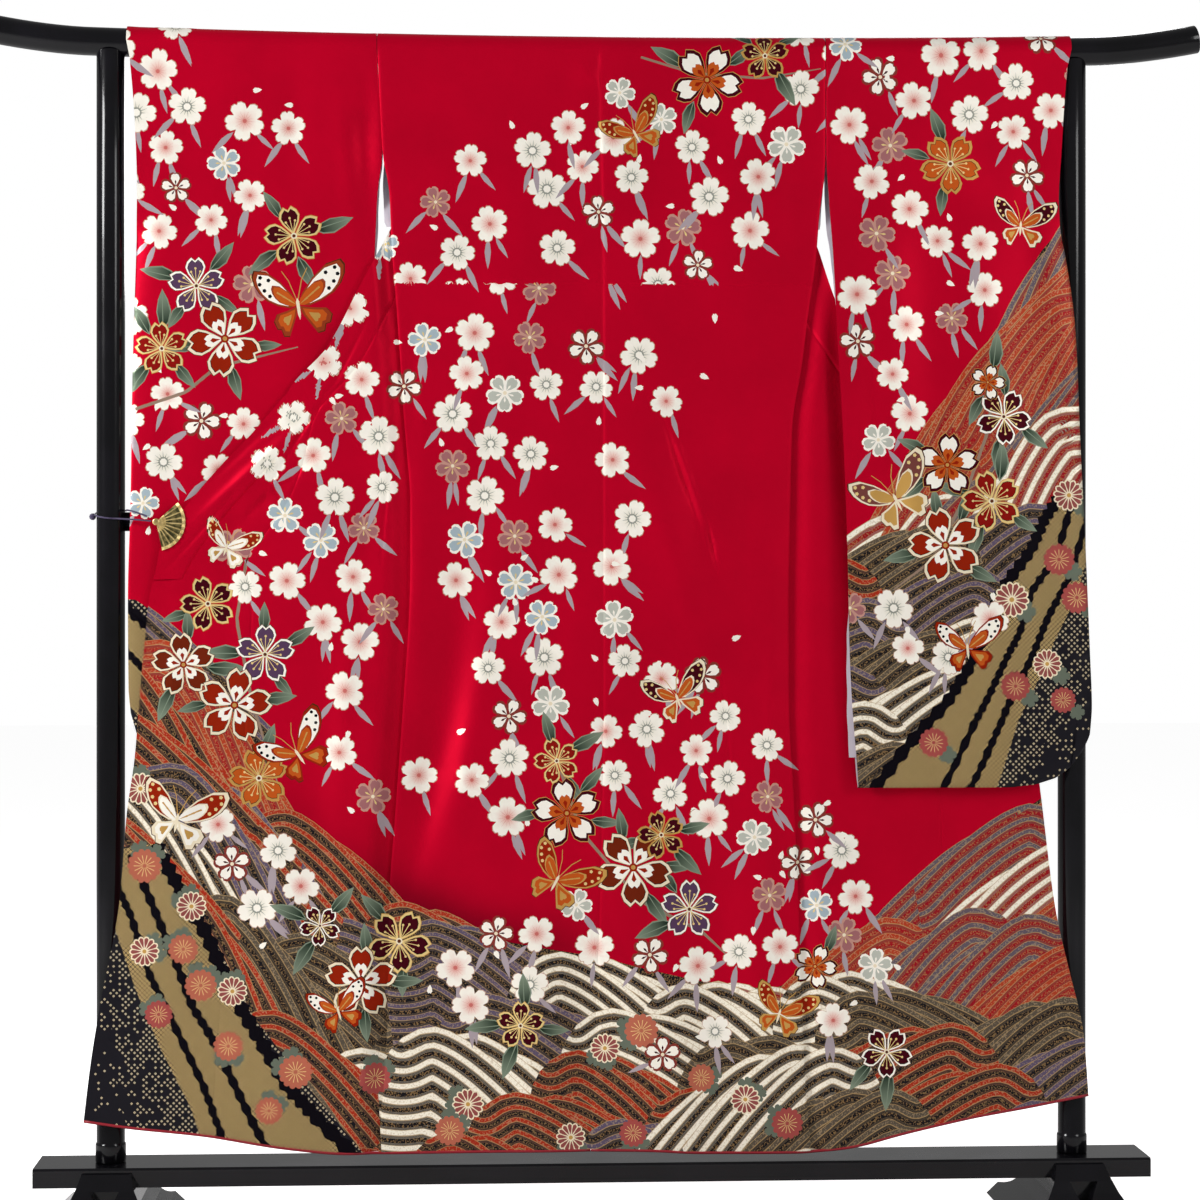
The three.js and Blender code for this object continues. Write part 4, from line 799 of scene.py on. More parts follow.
def body_print():
    chance = random.Random(7)
    items, taken = Print(), []
    mixed = ("cream", "plum", "rust", "plum", "taupe")
    deep = ("cream", "rust", "plum", "rust", "taupe")
    warm = ("ember", "mist", "ember", "foam", "ember")
    dark_water(items, SEA_LINE + [(1120, 1230), (60, 1230)])
    sea(items, SEA_LINE, 780, 1140, 4, [warm, warm, ("foam", "ember", "mist")], (118, 54), chance, True)
    sea(items, SEA_LINE, 70, 470, 6, [("ember", "rust", "plum", "mist"), mixed, mixed, deep], (112, 54),
        chance)
    sea(items, SEA_LINE, 440, 860, 5, [("cream", "rust", "cream", "ember", "plum"), mixed, deep], (122, 50),
        chance)
    sea(items, SEA_LINE_LOW, 830, 1140, 4, [mixed, deep, deep], (118, 50), chance, True)
    tie_dyed(items, [(96, 850), (112, 880), (122, 926), (140, 980), (165, 1040), (195, 1100), (222, 1180)],
             [([(160, 840), (182, 880), (211, 930), (233, 984), (261, 1030), (290, 1080), (319, 1112),
                (376, 1170)], 13),
              ([(118, 870), (136, 909), (154, 966), (176, 1012), (208, 1080), (226, 1130), (240, 1180)], 7),
              ([(136, 850), (158, 901), (179, 951), (197, 1001), (219, 1037), (244, 1091), (269, 1141),
                (290, 1180)], 8)],
             [(60, 846), (150, 842), (222, 940), (256, 1010), (318, 1090), (400, 1190), (60, 1200)],
             (150, 985), (74, 1010))
    for u, v, size, lined in BODY_KIKU:
        leaf_turn = chance.uniform(0, 6.28)
        for k in range(2):
            spot = plane(u, v) + size * PX * 0.9 * heading(leaf_turn + k)
            items.add(placed(SMALL, spot, size * PX * 0.62), SAGE)
        fill = KIKU_LINED if lined else chance.choice((ROSE, srgb(186, 104, 82)))
        kiku(items, plane(u, v), size * PX, fill, lined, chance.uniform(0, 1))
    twig(items, [(560, 770), (580, 830), (640, 900), (700, 930), (730, 958)])
    twig(items, [(250, 560), (240, 620), (255, 700), (280, 780)])
    twig(items, [(640, 60), (690, 75), (760, 80), (820, 70)], 1.8)
    great_rows = BODY_GREAT
    for u, v, size, _ in great_rows:
        taken.append((u, v, size))
    scatter(items, taken, chance, [
        ([(830, 60), (760, 90), (690, 110), (620, 160), (540, 200), (450, 262)], 50, 30, 281),
        ([(720, 150), (745, 210), (690, 240), (600, 262), (530, 280)], 32, 11, 281),
        ([(470, 330), (560, 330), (640, 370)], 34, 8),
        ([(480, 350), (500, 460), (500, 560), (520, 650), (540, 700)], 38, 25),
        ([(600, 400), (620, 520), (600, 640), (650, 700)], 22, 6),
        ([(470, 780), (560, 740), (660, 720), (740, 790), (800, 870)], 40, 22),
        ([(560, 930), (700, 950), (800, 930), (860, 900)], 28, 9),
        ([(360, 310), (345, 380), (315, 450), (300, 520), (280, 590)], 30, 15),
        ([(380, 380), (370, 480), (365, 560), (350, 650), (345, 740), (370, 800)], 22, 11),
        ([(250, 830), (290, 880), (300, 930), (440, 980), (540, 960)], 34, 9),
        ([(620, 1000), (720, 1040), (860, 980)], 30, 4)])
    for u, v in ((714, 325), (708, 380), (740, 636), (736, 726), (742, 272), (466, 728), (848, 836)):
        items.add(placed(DROP, plane(u, v), 10 * PX, chance.uniform(0, 6.28)), WHITE)
    great(items, taken, great_rows, chance)
    for u, v, size, kind, turn in BODY_FLIERS:
        butterfly(items, plane(u, v), size * PX, *WINGS[kind], turn)
    return items


def left_sleeve_print():
    chance = random.Random(21)
    items, taken = Print(), []
    outline = [(60, 660), (180, 640), (240, 600), (300, 570), (360, 545), (420, 530)]
    sea(items, outline, 190, 450, 5, [("ember", "mist", "rust"), ("plum", "cream", "rust", "taupe")],
        (92, 42), chance, True)
    tie_dyed(items, [(90, 660), (130, 700), (180, 760), (200, 810)],
             [([(110, 590), (170, 640), (220, 690), (270, 740), (330, 810)], 10),
              ([(100, 620), (150, 670), (200, 720), (260, 810)], 7)],
             [(60, 596), (140, 600), (200, 640), (260, 700), (350, 810), (60, 810)], (150, 690), (90, 790))
    for u, v, size, _ in SLEEVE_LEFT_GREAT:
        taken.append((u, v, size))
    scatter(items, taken, chance, [
        ([(150, 50), (180, 90), (150, 140), (220, 160), (190, 200), (150, 240)], 30, 12),
        ([(290, 130), (240, 170), (215, 215)], 22, 4),
        ([(260, 260), (200, 400), (180, 440), (250, 490)], 36, 8),
        ([(145, 330), (150, 400), (160, 500)], 18, 3),
        ([(240, 500), (300, 560), (350, 620)], 30, 6)])
    twig(items, [(140, 412), (190, 395), (220, 370), (300, 350)])
    great(items, taken, SLEEVE_LEFT_GREAT, chance)
    butterfly(items, plane(300, 308), 48 * PX, srgb(150, 60, 30), WHITE, ORANGE, 0.15, 0.8)
    return items


def right_sleeve_print():
    chance = random.Random(33)
    items, taken = Print(), []
    outline = [(830, 600), (850, 556), (880, 512), (915, 462), (950, 408), (990, 345), (1010, 300),
               (1040, 252), (1075, 212), (1120, 160)]
    warm = ("ember", "mist", "ember", "foam")
    dark_water(items, outline + [(1120, 830), (830, 830)])
    sea(items, outline, 880, 1120, 4, [warm, warm, warm, ("ember", "mist", "rust", "foam")], (104, 54),
        chance, True, (170, 50), (1, 2))
    lower = [(830, 560), (880, 540), (960, 520), (1040, 500), (1120, 480)]
    sea(items, lower, 820, 1080, 5, [("plum", "rust", "taupe"), ("plum", "cream", "taupe", "cream")],
        (106, 50), chance, True, behind=(1, 2))
    tie_dyed(items, [(1110, 500), (1085, 560), (1072, 600), (1052, 640), (1035, 680), (1015, 720),
                     (990, 800)],
             [([(1056, 498), (1041, 521), (1028, 550), (1003, 583), (987, 617), (966, 667), (945, 700),
                (903, 746), (862, 800)], 11),
              ([(1070, 500), (1053, 558), (1028, 592), (1016, 633), (1003, 658), (987, 692), (970, 725),
                (934, 800)], 7),
              ([(1088, 510), (1066, 579), (1045, 617), (1028, 658), (1007, 700), (987, 746), (962, 800)], 7)],
             [(1120, 480), (1060, 492), (1036, 530), (1000, 590), (966, 670), (900, 750), (860, 800),
              (1120, 800)],
             (1030, 690), (1100, 725))
    for u, v, size, lined in RIGHT_KIKU:
        spot = plane(u + 14, v + 12)
        items.add(placed(SMALL, spot, size * PX * 0.62), SAGE)
        kiku(items, plane(u, v), size * PX, KIKU_LINED if lined else ROSE, lined, chance.uniform(0, 1))
    for u, v, size, _ in SLEEVE_RIGHT_GREAT:
        taken.append((u, v, size))
    scatter(items, taken, chance, [
        ([(850, 50), (880, 80), (900, 160), (930, 210), (900, 260)], 30, 10),
        ([(960, 45), (1040, 60), (1020, 110), (1000, 150)], 32, 9),
        ([(950, 240), (980, 290), (930, 320)], 24, 5),
        ([(880, 300), (870, 350), (900, 400), (870, 440)], 22, 6),
        ([(870, 600), (900, 660), (960, 640)], 28, 5)])
    twig(items, [(990, 370), (985, 430), (960, 500), (930, 560), (890, 590)])
    great(items, taken, SLEEVE_RIGHT_GREAT, chance)
    butterfly(items, plane(1020, 226), 34 * PX, *WINGS["dark"], -0.1)
    butterfly(items, plane(892, 500), 44 * PX, *WINGS["brown"], 0.5)
    butterfly(items, plane(964, 648), 36 * PX, *WINGS["cream"], 0.1)
    return items


PRINTS = {"body": body_print(), "sleeve_left": left_sleeve_print(), "sleeve_right": right_sleeve_print()}


# ---------------------------------------------------------------- cloth meshes
def unit(vectors):
    return vectors / np.maximum(np.linalg.norm(vectors, axis=-1), 1e-12)[..., None]


def crossed(corners):
    return np.cross(corners[:, 1] - corners[:, 0], corners[:, 2] - corners[:, 0])


def new_piece(name, points, faces, materials, kinds=0, smooth_faces=True):
    """An object from points in mm, with a material number for each face."""
    mesh = bpy.data.meshes.new(name)
    mesh.from_pydata((np.array(points) * MM).tolist(), [], faces)
    for material in materials:
        mesh.materials.append(material)
    mesh.polygons.foreach_set("material_index", np.broadcast_to(kinds, len(faces)).astype(np.int32))
    mesh.polygons.foreach_set("use_smooth", np.broadcast_to(smooth_faces, len(faces)).astype(bool))
    mesh.update()
    piece = bpy.data.objects.new(name, mesh)
    bpy.context.collection.objects.link(piece)
    return piece


class Sheet:
    """Collects the patches of one piece of cloth and makes its mesh."""

    def __init__(self):
        # points, faces, kinds, and print, under and local at each corner
        self.rows = [[] for _ in range(6)]
        self.count = 0

    def paint(self, points, flat, faces, items, ground, flip=False, band=False):
        """Adds faces, each coloured by the last item that covers its middle in the flat plane.
        A band takes no notice of the tuck, and is plain at the neck."""
        middle = flat[faces].mean(1)
        owner = np.full(len(faces), -1)
        for k, it in enumerate(items):
            near = np.nonzero(((middle > it.low) & (middle < it.high)).all(1))[0]
            if it.part and not band:
                near = near[(middle[near, 1] > TUCK_Z) == (it.part == 1)]
            if len(near):
                owner[near[it.covers(middle[near])]] = k
        if band:
            owner[middle[:, 1] > PLAIN_NECK] = -1
        colours = ground(flat[faces].reshape(-1, 2)).reshape(-1, 3, 4)
        unders = np.zeros((len(faces), 3, 4))
        local = np.zeros((len(faces), 3, 3))
        kinds = np.zeros(len(faces), int)
        for k in np.unique(owner[owner >= 0]):
            mine = np.nonzero(owner == k)[0]
            where = flat[faces[mine]].reshape(-1, 2)
            colours[mine] = items[k].colours(where).reshape(-1, 3, 4)
            local[mine] = items[k].locals(where).reshape(-1, 3, 3)
            unders[mine], kinds[mine] = items[k].under, items[k].kind
        corners = [faces + self.count, colours, unders, local]
        if flip:
            corners = [rows[:, ::-1] for rows in corners]
        for rows, new in zip(self.rows, (points, corners[0], kinds, *corners[1:])):
            rows.append(new)
        self.count += len(points)

    def mesh(self, name, materials, thickness):
        """The printed faces, the same again inwards by the thickness, and a rim between them."""
        points, faces, kinds, *layers = (np.concatenate(rows) for rows in self.rows)
        count = len(points)
        normal = np.zeros_like(points)
        for k in range(3):
            np.add.at(normal, faces[:, k], crossed(points[faces]))
        normal = unit(normal)
        steep = 1 - smooth((np.abs(normal[:, 1]) - 0.5) / 0.35)
        inwards = unit(normal * np.stack([steep, np.ones(count), steep], 1))
        both = np.concatenate([points, points - inwards * thickness])
        sides = np.concatenate([faces[:, [k, (k + 1) % 3]] for k in range(3)])
        lone = np.nonzero(~np.isin(sides[:, 0] * count + sides[:, 1], sides[:, 1] * count + sides[:, 0]))[0]
        a, b = sides[lone].T
        owner, corner = lone % len(faces), lone // len(faces)
        rim = np.concatenate([np.stack([b, a, a + count], 1), np.stack([b, a + count, b + count], 1)])
        every = np.concatenate([faces, faces[:, ::-1] + count, rim])
        piece = new_piece(name, both, every.tolist(), materials,
                          np.concatenate([kinds, kinds + 4, kinds[owner], kinds[owner]]))
        for label, outer in zip(("print", "under", "local"), layers):
            at_a, at_b = outer[owner, corner], outer[owner, (corner + 1) % 3]
            flat = np.concatenate([outer, outer[:, ::-1], np.stack([at_b, at_a, at_a], 1),
                                   np.stack([at_b, at_a, at_b], 1)])
            kind, field = ("FLOAT_VECTOR", "vector") if label == "local" else ("FLOAT_COLOR", "color")
            layer = piece.data.attributes.new(label, kind, "CORNER")
            layer.data.foreach_set(field, flat.astype(np.float32).ravel())
        flat_rim = np.repeat(unit(crossed(both[rim]))[:, None], 3, 1)
        shading = np.concatenate([normal[faces], -normal[faces[:, ::-1]], flat_rim])
        piece.data.normals_split_custom_set(shading.reshape(-1, 3).tolist())
        return piece


def resampled(polygon, step):
    polygon = np.asarray(polygon, float)
    out = []
    for a, b in zip(polygon, np.roll(polygon, -1, 0)):
        n = max(1, int(np.hypot(*(b - a)) / step))
        out += [a + (b - a) * k / n for k in range(n)]
    return np.array(out)


def inset(polygon, distance):
    before, after = np.roll(polygon, 1, 0), np.roll(polygon, -1, 0)
    tangent = after - before
    tangent /= np.maximum(np.hypot(*tangent.T), 1e-9)[:, None]
    normal = np.stack([-tangent[:, 1], tangent[:, 0]], 1)
    area = 0.5 * np.sum(polygon[:, 0] * after[:, 1] - after[:, 0] * polygon[:, 1])
    return polygon + normal * distance * (1 if area > 0 else -1)


def edge_distance(points, polygon):
    a, b = polygon, np.roll(polygon, -1, 0)
    best = np.full(len(points), 1e9)
    for p, q in zip(a, b):
        d = q - p
        t = np.clip(((points - p) @ d) / max(d @ d, 1e-12), 0, 1)
        best = np.minimum(best, np.hypot(*(points - p - t[:, None] * d).T))
    return best


def lattice(polygon, step):
    """Points of an even triangular lattice inside a polygon, clear of its edges."""
    low, high = polygon.min(0), polygon.max(0)
    rows = np.arange(low[1], high[1], step * 0.866)
    cols = np.arange(low[0], high[0] + step, step)
    grid = np.array([(x + (i % 2) * step / 2, y) for i, y in enumerate(rows) for x in cols])
    inside = Item(polygon, RED).covers(grid)
    grid = grid[inside]
    return grid[edge_distance(grid, polygon) > 5.5]


def dyed_ground(points):
    """Red, shaded darker just above the sea."""
    u, v = points[:, 0] / PX + 595.6, 1222 - points[:, 1] / PX
    above = Curve(SEA_LINE)(u) - v
    shade = np.exp(-(np.maximum(above, 0) / 34) ** 2) * np.exp(-((u - 455) / 130) ** 2) * 0.8
    return np.array(RED) * (1 - shade[:, None]) + np.array(SHADE) * shade[:, None]


def crease_points(tables):
    """Close rows of points along the narrow creases, so that the mesh can follow them."""
    rows = [(fx + lean * t * length + across, fz + t * length)
            for table in tables for fx, fz, width, length, lean, _ in table if width <= 5
            for t in np.linspace(-1, 1, int(length / 3)) for across in (-6, -3, -1.2, 0.4, 2, 4.5)]
    return np.array(rows, float)


def patch(sheet, polygon, surface, items, step=10.5, flip=False, extra=None, ground=dyed_ground):
    """Cuts the print's shapes into a flat patch, lifts it to the surface and adds it to a sheet."""
    edge = resampled(polygon, 6.0)
    low, high = edge.min(0), edge.max(0)
    free = [lattice(edge, step)]
    for distance in (1.7, 4.0):
        ring_points = inset(edge, distance)
        keep = Item(edge, RED).covers(ring_points) & (edge_distance(ring_points, edge) > distance * 0.8)
        free.append(ring_points[keep])
    if extra is not None:
        free.append(extra[Item(edge, RED).covers(extra)])
    here = [it for it in items if (it.high > low).all() and (it.low < high).all()]
    points = np.concatenate([edge] + free + [it.points for it in here])
    edges = [(k, (k + 1) % len(edge)) for k in range(len(edge))]
    start = len(edge) + sum(len(f) for f in free)
    for it in here:
        n = len(it.points)
        edges += [(start + k, start + (k + 1) % n) for k in range(n)]
        start += n
    flat, _, faces, _, _, _ = delaunay_2d_cdt([Vector(p) for p in points], edges, [], 0, 1e-5)
    flat = np.array([tuple(v) for v in flat])
    faces = np.array([f for f in faces if len(f) == 3])
    middle = flat[faces].mean(1)
    faces = faces[Item(edge, RED).covers(middle)]
    corners = flat[faces]
    ab, ac = corners[:, 1] - corners[:, 0], corners[:, 2] - corners[:, 0]
    faces = faces[np.abs(ab[:, 0] * ac[:, 1] - ac[:, 0] * ab[:, 1]) > 2e-4]
    used = np.unique(faces)
    index = np.full(len(flat), -1)
    index[used] = np.arange(len(used))
    flat, faces = flat[used], index[faces]
    sheet.paint(surface(flat[:, 0], flat[:, 1]), flat, faces, here, ground, flip)


def down(high, low, step=20):
    return np.linspace(high, low, max(2, int(abs(high - low) / step)))


def along(curve, heights, shift=0.0):
    """Edge points that follow a table's column, hung to the hem's own curve."""
    x = curve(heights) + shift
    return np.stack([x, heights + hem_lift(x, heights)], 1)


def hem_points(x0, x1):
    x = np.linspace(x0, x1, max(2, int(abs(x1 - x0) / 10)))
    return np.stack([x, HEM_Z + hem_lift(x, np.full_like(x, HEM_Z))], 1)


def arc(degrees):
    return BAR["z"] + HANG * math.radians(degrees + 90)


def body_sheet(side):
    items = PRINTS["body"]
    sheet = Sheet()
    inward = INWARDS[side]
    heights = down(BAR["z"], HEM_Z)
    centre = along(centre_x, heights)
    seam = along(side_x[side], heights)
    seam_top = side_x[side](BAR["z"])
    neck = -inward * NECK
    top = [(centre[0][0], arc(NECK_ANGLE)), (neck, arc(SHOULDER_ANGLE)), (neck, arc(90)), (seam_top, arc(90))]
    creases = crease_points([FINE_FOLDS])
    tuck = np.array([(x, TUCK_Z + d) for x in np.arange(-330, 331, 9) for d in (-3.2, -1.2, 0.6, 2.6)])
    polygon = np.concatenate([seam, hem_points(seam[-1][0], centre[-1][0])[1:-1], centre[::-1], top])
    patch(sheet, polygon, back_surface(side), items, extra=np.concatenate([tuck, creases]))

    z = down(BAR["z"], HEM_Z)
    width = turn_width(side, z)
    seam_line = along(side_x[side], z)
    fold_nominal = side_x[side](z) + inward * width
    fold_line = np.stack([fold_nominal, z + hem_lift(fold_nominal, z)], 1)
    far = np.concatenate([seam_line, fold_line[::-1]])
    patch(sheet, far, front_surface(side, False), items, step=14.0, flip=True)
    front_line = along(front_x[side], z)
    hem = hem_points(fold_line[-1][0], front_line[-1][0])[1:-1]
    turned = np.concatenate([fold_line, hem, front_line[::-1]])
    patch(sheet, turned, front_surface(side, True), items, extra=creases)
    return sheet


def okumi_sheet(side):
    sheet = Sheet()
    top = OKUMI[side][0][0]
    z = down(top, HEM_Z, 14)
    z = np.sort(np.concatenate([z, [COLLAR_END[side], COLLAR_END[side] - 3]]))[::-1]
    inner = along(front_x[side], z)
    outer = along(okumi_x[side], z)
    hem = hem_points(inner[-1][0], outer[-1][0])[1:-1]
    patch(sheet, np.concatenate([inner, hem, outer[::-1]]), okumi_surface(side), PRINTS["body"],
          extra=crease_points([FINE_FOLDS]))
    return sheet


def sleeve_sheet(side):
    sheet = Sheet()
    items = PRINTS["sleeve_" + side]
    inner, outer_near, outer_far, _, _ = sleeve_of[side]
    bottom = SLEEVE[side][-1][0]
    z = np.concatenate([down(BAR["z"], 760), np.array([r[0] for r in SLEEVE[side] if r[0] < 755])])
    floor = lambda outer: np.array([(x, bottom) for x in np.linspace(inner(bottom), outer(bottom), 20)[1:-1]])
    at = lambda curve: np.stack([curve(z), z], 1)
    near = np.concatenate([at(inner), floor(outer_near), at(outer_near)[::-1],
                           [(outer_near(BAR["z"]), arc(90)), (inner(BAR["z"]), arc(90))]])
    patch(sheet, near, sleeve_surface(side, True), items)
    tucked = 3.2 * smooth((1340 - z) / 60) * smooth((z - 800) / 100) if side == "right" else 0
    inside = at(inner) + np.stack([tucked + 0 * z, 0 * z], 1)
    far = np.concatenate([inside, floor(outer_far), at(outer_far)[::-1]])
    patch(sheet, far, sleeve_surface(side, False), items, step=14.0, flip=True)
    return sheet


# ---------------------------------------------------------------- materials
class Nodes:
    """Short way to write a node tree."""

    def __init__(self, name):
        self.material = bpy.data.materials.new(name)
        self.material.use_nodes = True
        self.tree = self.material.node_tree
        self.shader = self.tree.nodes["Principled BSDF"]

    def put(self, socket, value):
        if isinstance(value, bpy.types.NodeSocket):
            self.tree.links.new(value, socket)
        else:
            socket.default_value = value

    def node(self, kind, outputs=0, inputs=None, **settings):
        node = self.tree.nodes.new(kind)
        for key, value in settings.items():
            setattr(node, key, value)
        for key, value in (inputs or {}).items():
            self.put(node.inputs[key], value)
        return node.outputs[outputs]

    def math(self, operation, a, b=0.0, c=0.0):
        node = self.tree.nodes.new("ShaderNodeMath")
        node.operation = operation
        for socket, value in zip(node.inputs, (a, b, c)):
            self.put(socket, value)
        return node.outputs[0]

    def mixed(self, factor, a, b):
        node = self.tree.nodes.new("ShaderNodeMix")
        node.data_type = "RGBA"
        self.put(node.inputs[0], factor)
        self.put(node.inputs[6], a)
        self.put(node.inputs[7], b)
        return node.outputs[2]

    def step(self, value, low, high):
        """0 below low, 1 above high."""
        node = self.tree.nodes.new("ShaderNodeMapRange")
        node.interpolation_type = "SMOOTHSTEP"
        self.put(node.inputs[0], value)
        node.inputs[1].default_value = low
        node.inputs[2].default_value = high
        return node.outputs[0]

    def noise(self, place, scale, detail):
        return self.node("ShaderNodeTexNoise", 0, {"Vector": place, "Scale": scale, "Detail": detail})

    def place(self):
        return self.node("ShaderNodeTexCoord", "Object")

    def parts(self, vector):
        node = self.tree.nodes.new("ShaderNodeSeparateXYZ")
        self.put(node.inputs[0], vector)
        return node.outputs

    def attribute(self, name):
        node = self.tree.nodes.new("ShaderNodeAttribute")
        node.attribute_name = name
        return node

    def bump(self, height, distance, strength=1.0):
        return self.node("ShaderNodeBump", 0, {"Height": height, "Distance": distance, "Strength": strength})

    def finish(self, **sockets):
        for name, value in sockets.items():
            self.put(self.shader.inputs[name.replace("_", " ")], value)
        return self.material


def silk_base(n):
    """Satin weave bump and slow unevenness, shared by the printed silks."""
    place = n.place()
    threads = n.node("ShaderNodeMapping", 0, {"Vector": place, "Scale": (900.0, 900.0, 260.0)})
    weave = n.noise(threads, 1.0, 2.0)
    return place, weave, n.noise(place, 9.0, 3.0)


def silk_finish(n, weave, colour, rough=0.4, spread=0.1, **sockets):
    return n.finish(Base_Color=colour, Roughness=n.math("MULTIPLY_ADD", weave, spread, rough),
                    Normal=n.bump(weave, 0.00012, 0.5), **sockets)


def silk_print():
    n = Nodes("silk_print")
    dye = n.attribute("print")
    _, weave, cloud = silk_base(n)
    tone = n.node("ShaderNodeMapRange", 0, {0: cloud, 1: 0.3, 2: 0.7, 3: 0.93, 4: 1.05})
    grey = n.node("ShaderNodeCombineXYZ", 0, {0: tone, 1: tone, 2: tone})
    colour = n.node("ShaderNodeVectorMath", 0, {0: dye.outputs["Color"], 1: grey}, operation="MULTIPLY")
    metal = n.math("MULTIPLY_ADD", n.math("SUBTRACT", 1.0, dye.outputs["Alpha"]), 0.4, 0.38)
    return silk_finish(n, weave, colour, Metallic=metal, Specular_IOR_Level=0.04)


def glitter(n, place, scale, low, high):
    return n.step(n.noise(place, scale, 1.0), low, high)


def silk_wave():
    n = Nodes("silk_wave")
    stripe, ground = n.attribute("print").outputs["Color"], n.attribute("under").outputs["Color"]
    reach = n.parts(n.attribute("local").outputs["Vector"])[0]
    part = n.math("FRACT", reach)
    place, weave, _ = silk_base(n)
    specks = glitter(n, place, 460.0, 0.52, 0.58)
    gold = (0.46, 0.27, 0.1, 1.0)
    lines = n.math("LESS_THAN", n.math("FRACT", n.math("MULTIPLY", reach, 15.0)), 0.4)
    hatch = n.mixed(lines, ground, n.mixed(0.22, (0.14, 0.1, 0.06, 1.0), stripe))
    dark = n.mixed(n.math("MULTIPLY", specks, 0.46), ground, gold)
    bright = n.mixed(n.math("MULTIPLY", glitter(n, place, 400.0, 0.54, 0.6), 0.4), stripe,
                     (0.5, 0.36, 0.2, 1.0))
    colour = n.mixed(n.step(part, 0.36, 0.39), bright, hatch)
    colour = n.mixed(n.step(part, 0.55, 0.58), colour, dark)
    colour = n.mixed(n.step(part, 0.84, 0.87), colour, hatch)
    rim = n.math("MULTIPLY", n.step(part, 0.33, 0.35), n.math("SUBTRACT", 1.0, n.step(part, 0.39, 0.41)))
    rim = n.math("MAXIMUM", rim, n.math("SUBTRACT", 1.0, n.step(part, 0.03, 0.05)))
    colour = n.mixed(n.math("MULTIPLY", rim, 0.7), colour, (0.5, 0.32, 0.13, 1.0))
    return silk_finish(n, weave, colour, Metallic=0.3, Specular_IOR_Level=0.2)


def dotted(name, scattered):
    """Tie-dyed dots in gold on black: an even lattice, or one that thins out."""
    n = Nodes(name)
    x, y, density = n.parts(n.attribute("local").outputs["Vector"])
    pitch = 8.4 if scattered else 6.6
    u = n.math("DIVIDE", n.math("ADD", x, y), pitch)
    v = n.math("DIVIDE", n.math("SUBTRACT", x, y), pitch)
    cell = n.node("ShaderNodeCombineXYZ", 0, {0: n.math("FLOOR", u), 1: n.math("FLOOR", v), 2: 0.0})
    du = n.math("ABSOLUTE", n.math("SUBTRACT", n.math("FRACT", u), 0.5))
    dv = n.math("ABSOLUTE", n.math("SUBTRACT", n.math("FRACT", v), 0.5))
    square = n.math("MAXIMUM", du, dv)
    outer, hollow = (0.22, 0.08) if scattered else (0.35, 0.16)
    dots = n.math("MULTIPLY", n.math("SUBTRACT", 1.0, n.step(square, outer - 0.04, outer + 0.04)),
                  n.step(square, hollow - 0.04, hollow + 0.04))
    if scattered:
        noise = n.node("ShaderNodeTexWhiteNoise", "Value", {"Vector": cell}, noise_dimensions="3D")
        chance = n.math("MULTIPLY_ADD", density, 0.82, 0.06)
        dots = n.math("MULTIPLY", dots, n.math("LESS_THAN", noise, chance))
    place, weave, _ = silk_base(n)
    gold = (0.66, 0.54, 0.34, 1.0) if scattered else (0.78, 0.54, 0.21, 1.0)
    colour = n.mixed(dots, (0.006, 0.005, 0.009, 1.0), gold)
    return silk_finish(n, weave, colour, Metallic=0.3, Specular_IOR_Level=0.2)


def lining(name, upper, lower=None, change=0.9):
    """Plain inner silk: pale above, the hem's crimson facing below."""
    n = Nodes(name)
    place, weave, cloud = silk_base(n)
    colour = n.mixed(n.step(cloud, 0.35, 0.7), tuple(c * 0.9 for c in upper[:3]) + (1.0,), upper)
    if lower is not None:
        colour = n.mixed(n.step(n.parts(place)[2], change - 0.0005, change + 0.0005), lower, colour)
    return silk_finish(n, weave, colour, 0.42, 0.12, Sheen_Weight=0.05, Sheen_Roughness=0.4)


def lacquer():
    n = Nodes("black_lacquer")
    place = n.place()
    haze, dust = n.noise(place, 14.0, 4.0), n.noise(place, 420.0, 2.0)
    colour = n.mixed(n.step(haze, 0.3, 0.8), (0.0022, 0.002, 0.0028, 1.0), (0.0045, 0.004, 0.006, 1.0))
    rough = n.math("ADD", n.math("MULTIPLY", haze, 0.12), 0.1)
    return n.finish(Base_Color=colour, Roughness=rough, Specular_IOR_Level=0.2, Coat_Weight=0.14,
                    Coat_Roughness=0.08, Normal=n.bump(dust, 0.00004, 0.3))


def brass(name, dark, bright):
    n = Nodes(name)
    wear = n.noise(n.place(), 160.0, 5.0)
    colour = n.mixed(n.step(wear, 0.3, 0.7), dark, bright)
    return n.finish(Base_Color=colour, Metallic=0.9, Roughness=n.math("MULTIPLY_ADD", wear, 0.3, 0.22),
                    Normal=n.bump(wear, 0.0002, 0.5))


def cord_silk():
    n = Nodes("cord_silk")
    twist = n.node("ShaderNodeTexWave", 0, {"Vector": n.place(), "Scale": 260.0, "Distortion": 2.0},
                   bands_direction="DIAGONAL")
    colour = n.mixed(twist, (0.012, 0.006, 0.03, 1.0), (0.05, 0.025, 0.11, 1.0))
    return n.finish(Base_Color=colour, Roughness=0.55, Normal=n.bump(twist, 0.0004, 0.6), Sheen_Weight=0.3)


PALE_LINING = srgb(214, 206, 216)
CRIMSON = srgb(146, 4, 28)
front_silks = [silk_print(), silk_wave(), dotted("kanoko", False), dotted("night_dots", True)]
body_inside = lining("body_lining_silk", PALE_LINING, CRIMSON, 0.78)
sleeve_inside = lining("sleeve_lining_silk", PALE_LINING)
piping_silk = lining("piping_silk", CRIMSON)
lacquer_black = lacquer()


def keep(piece, slot_name, *nodes):
    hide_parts(*nodes)
    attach(piece, "root")
    return piece


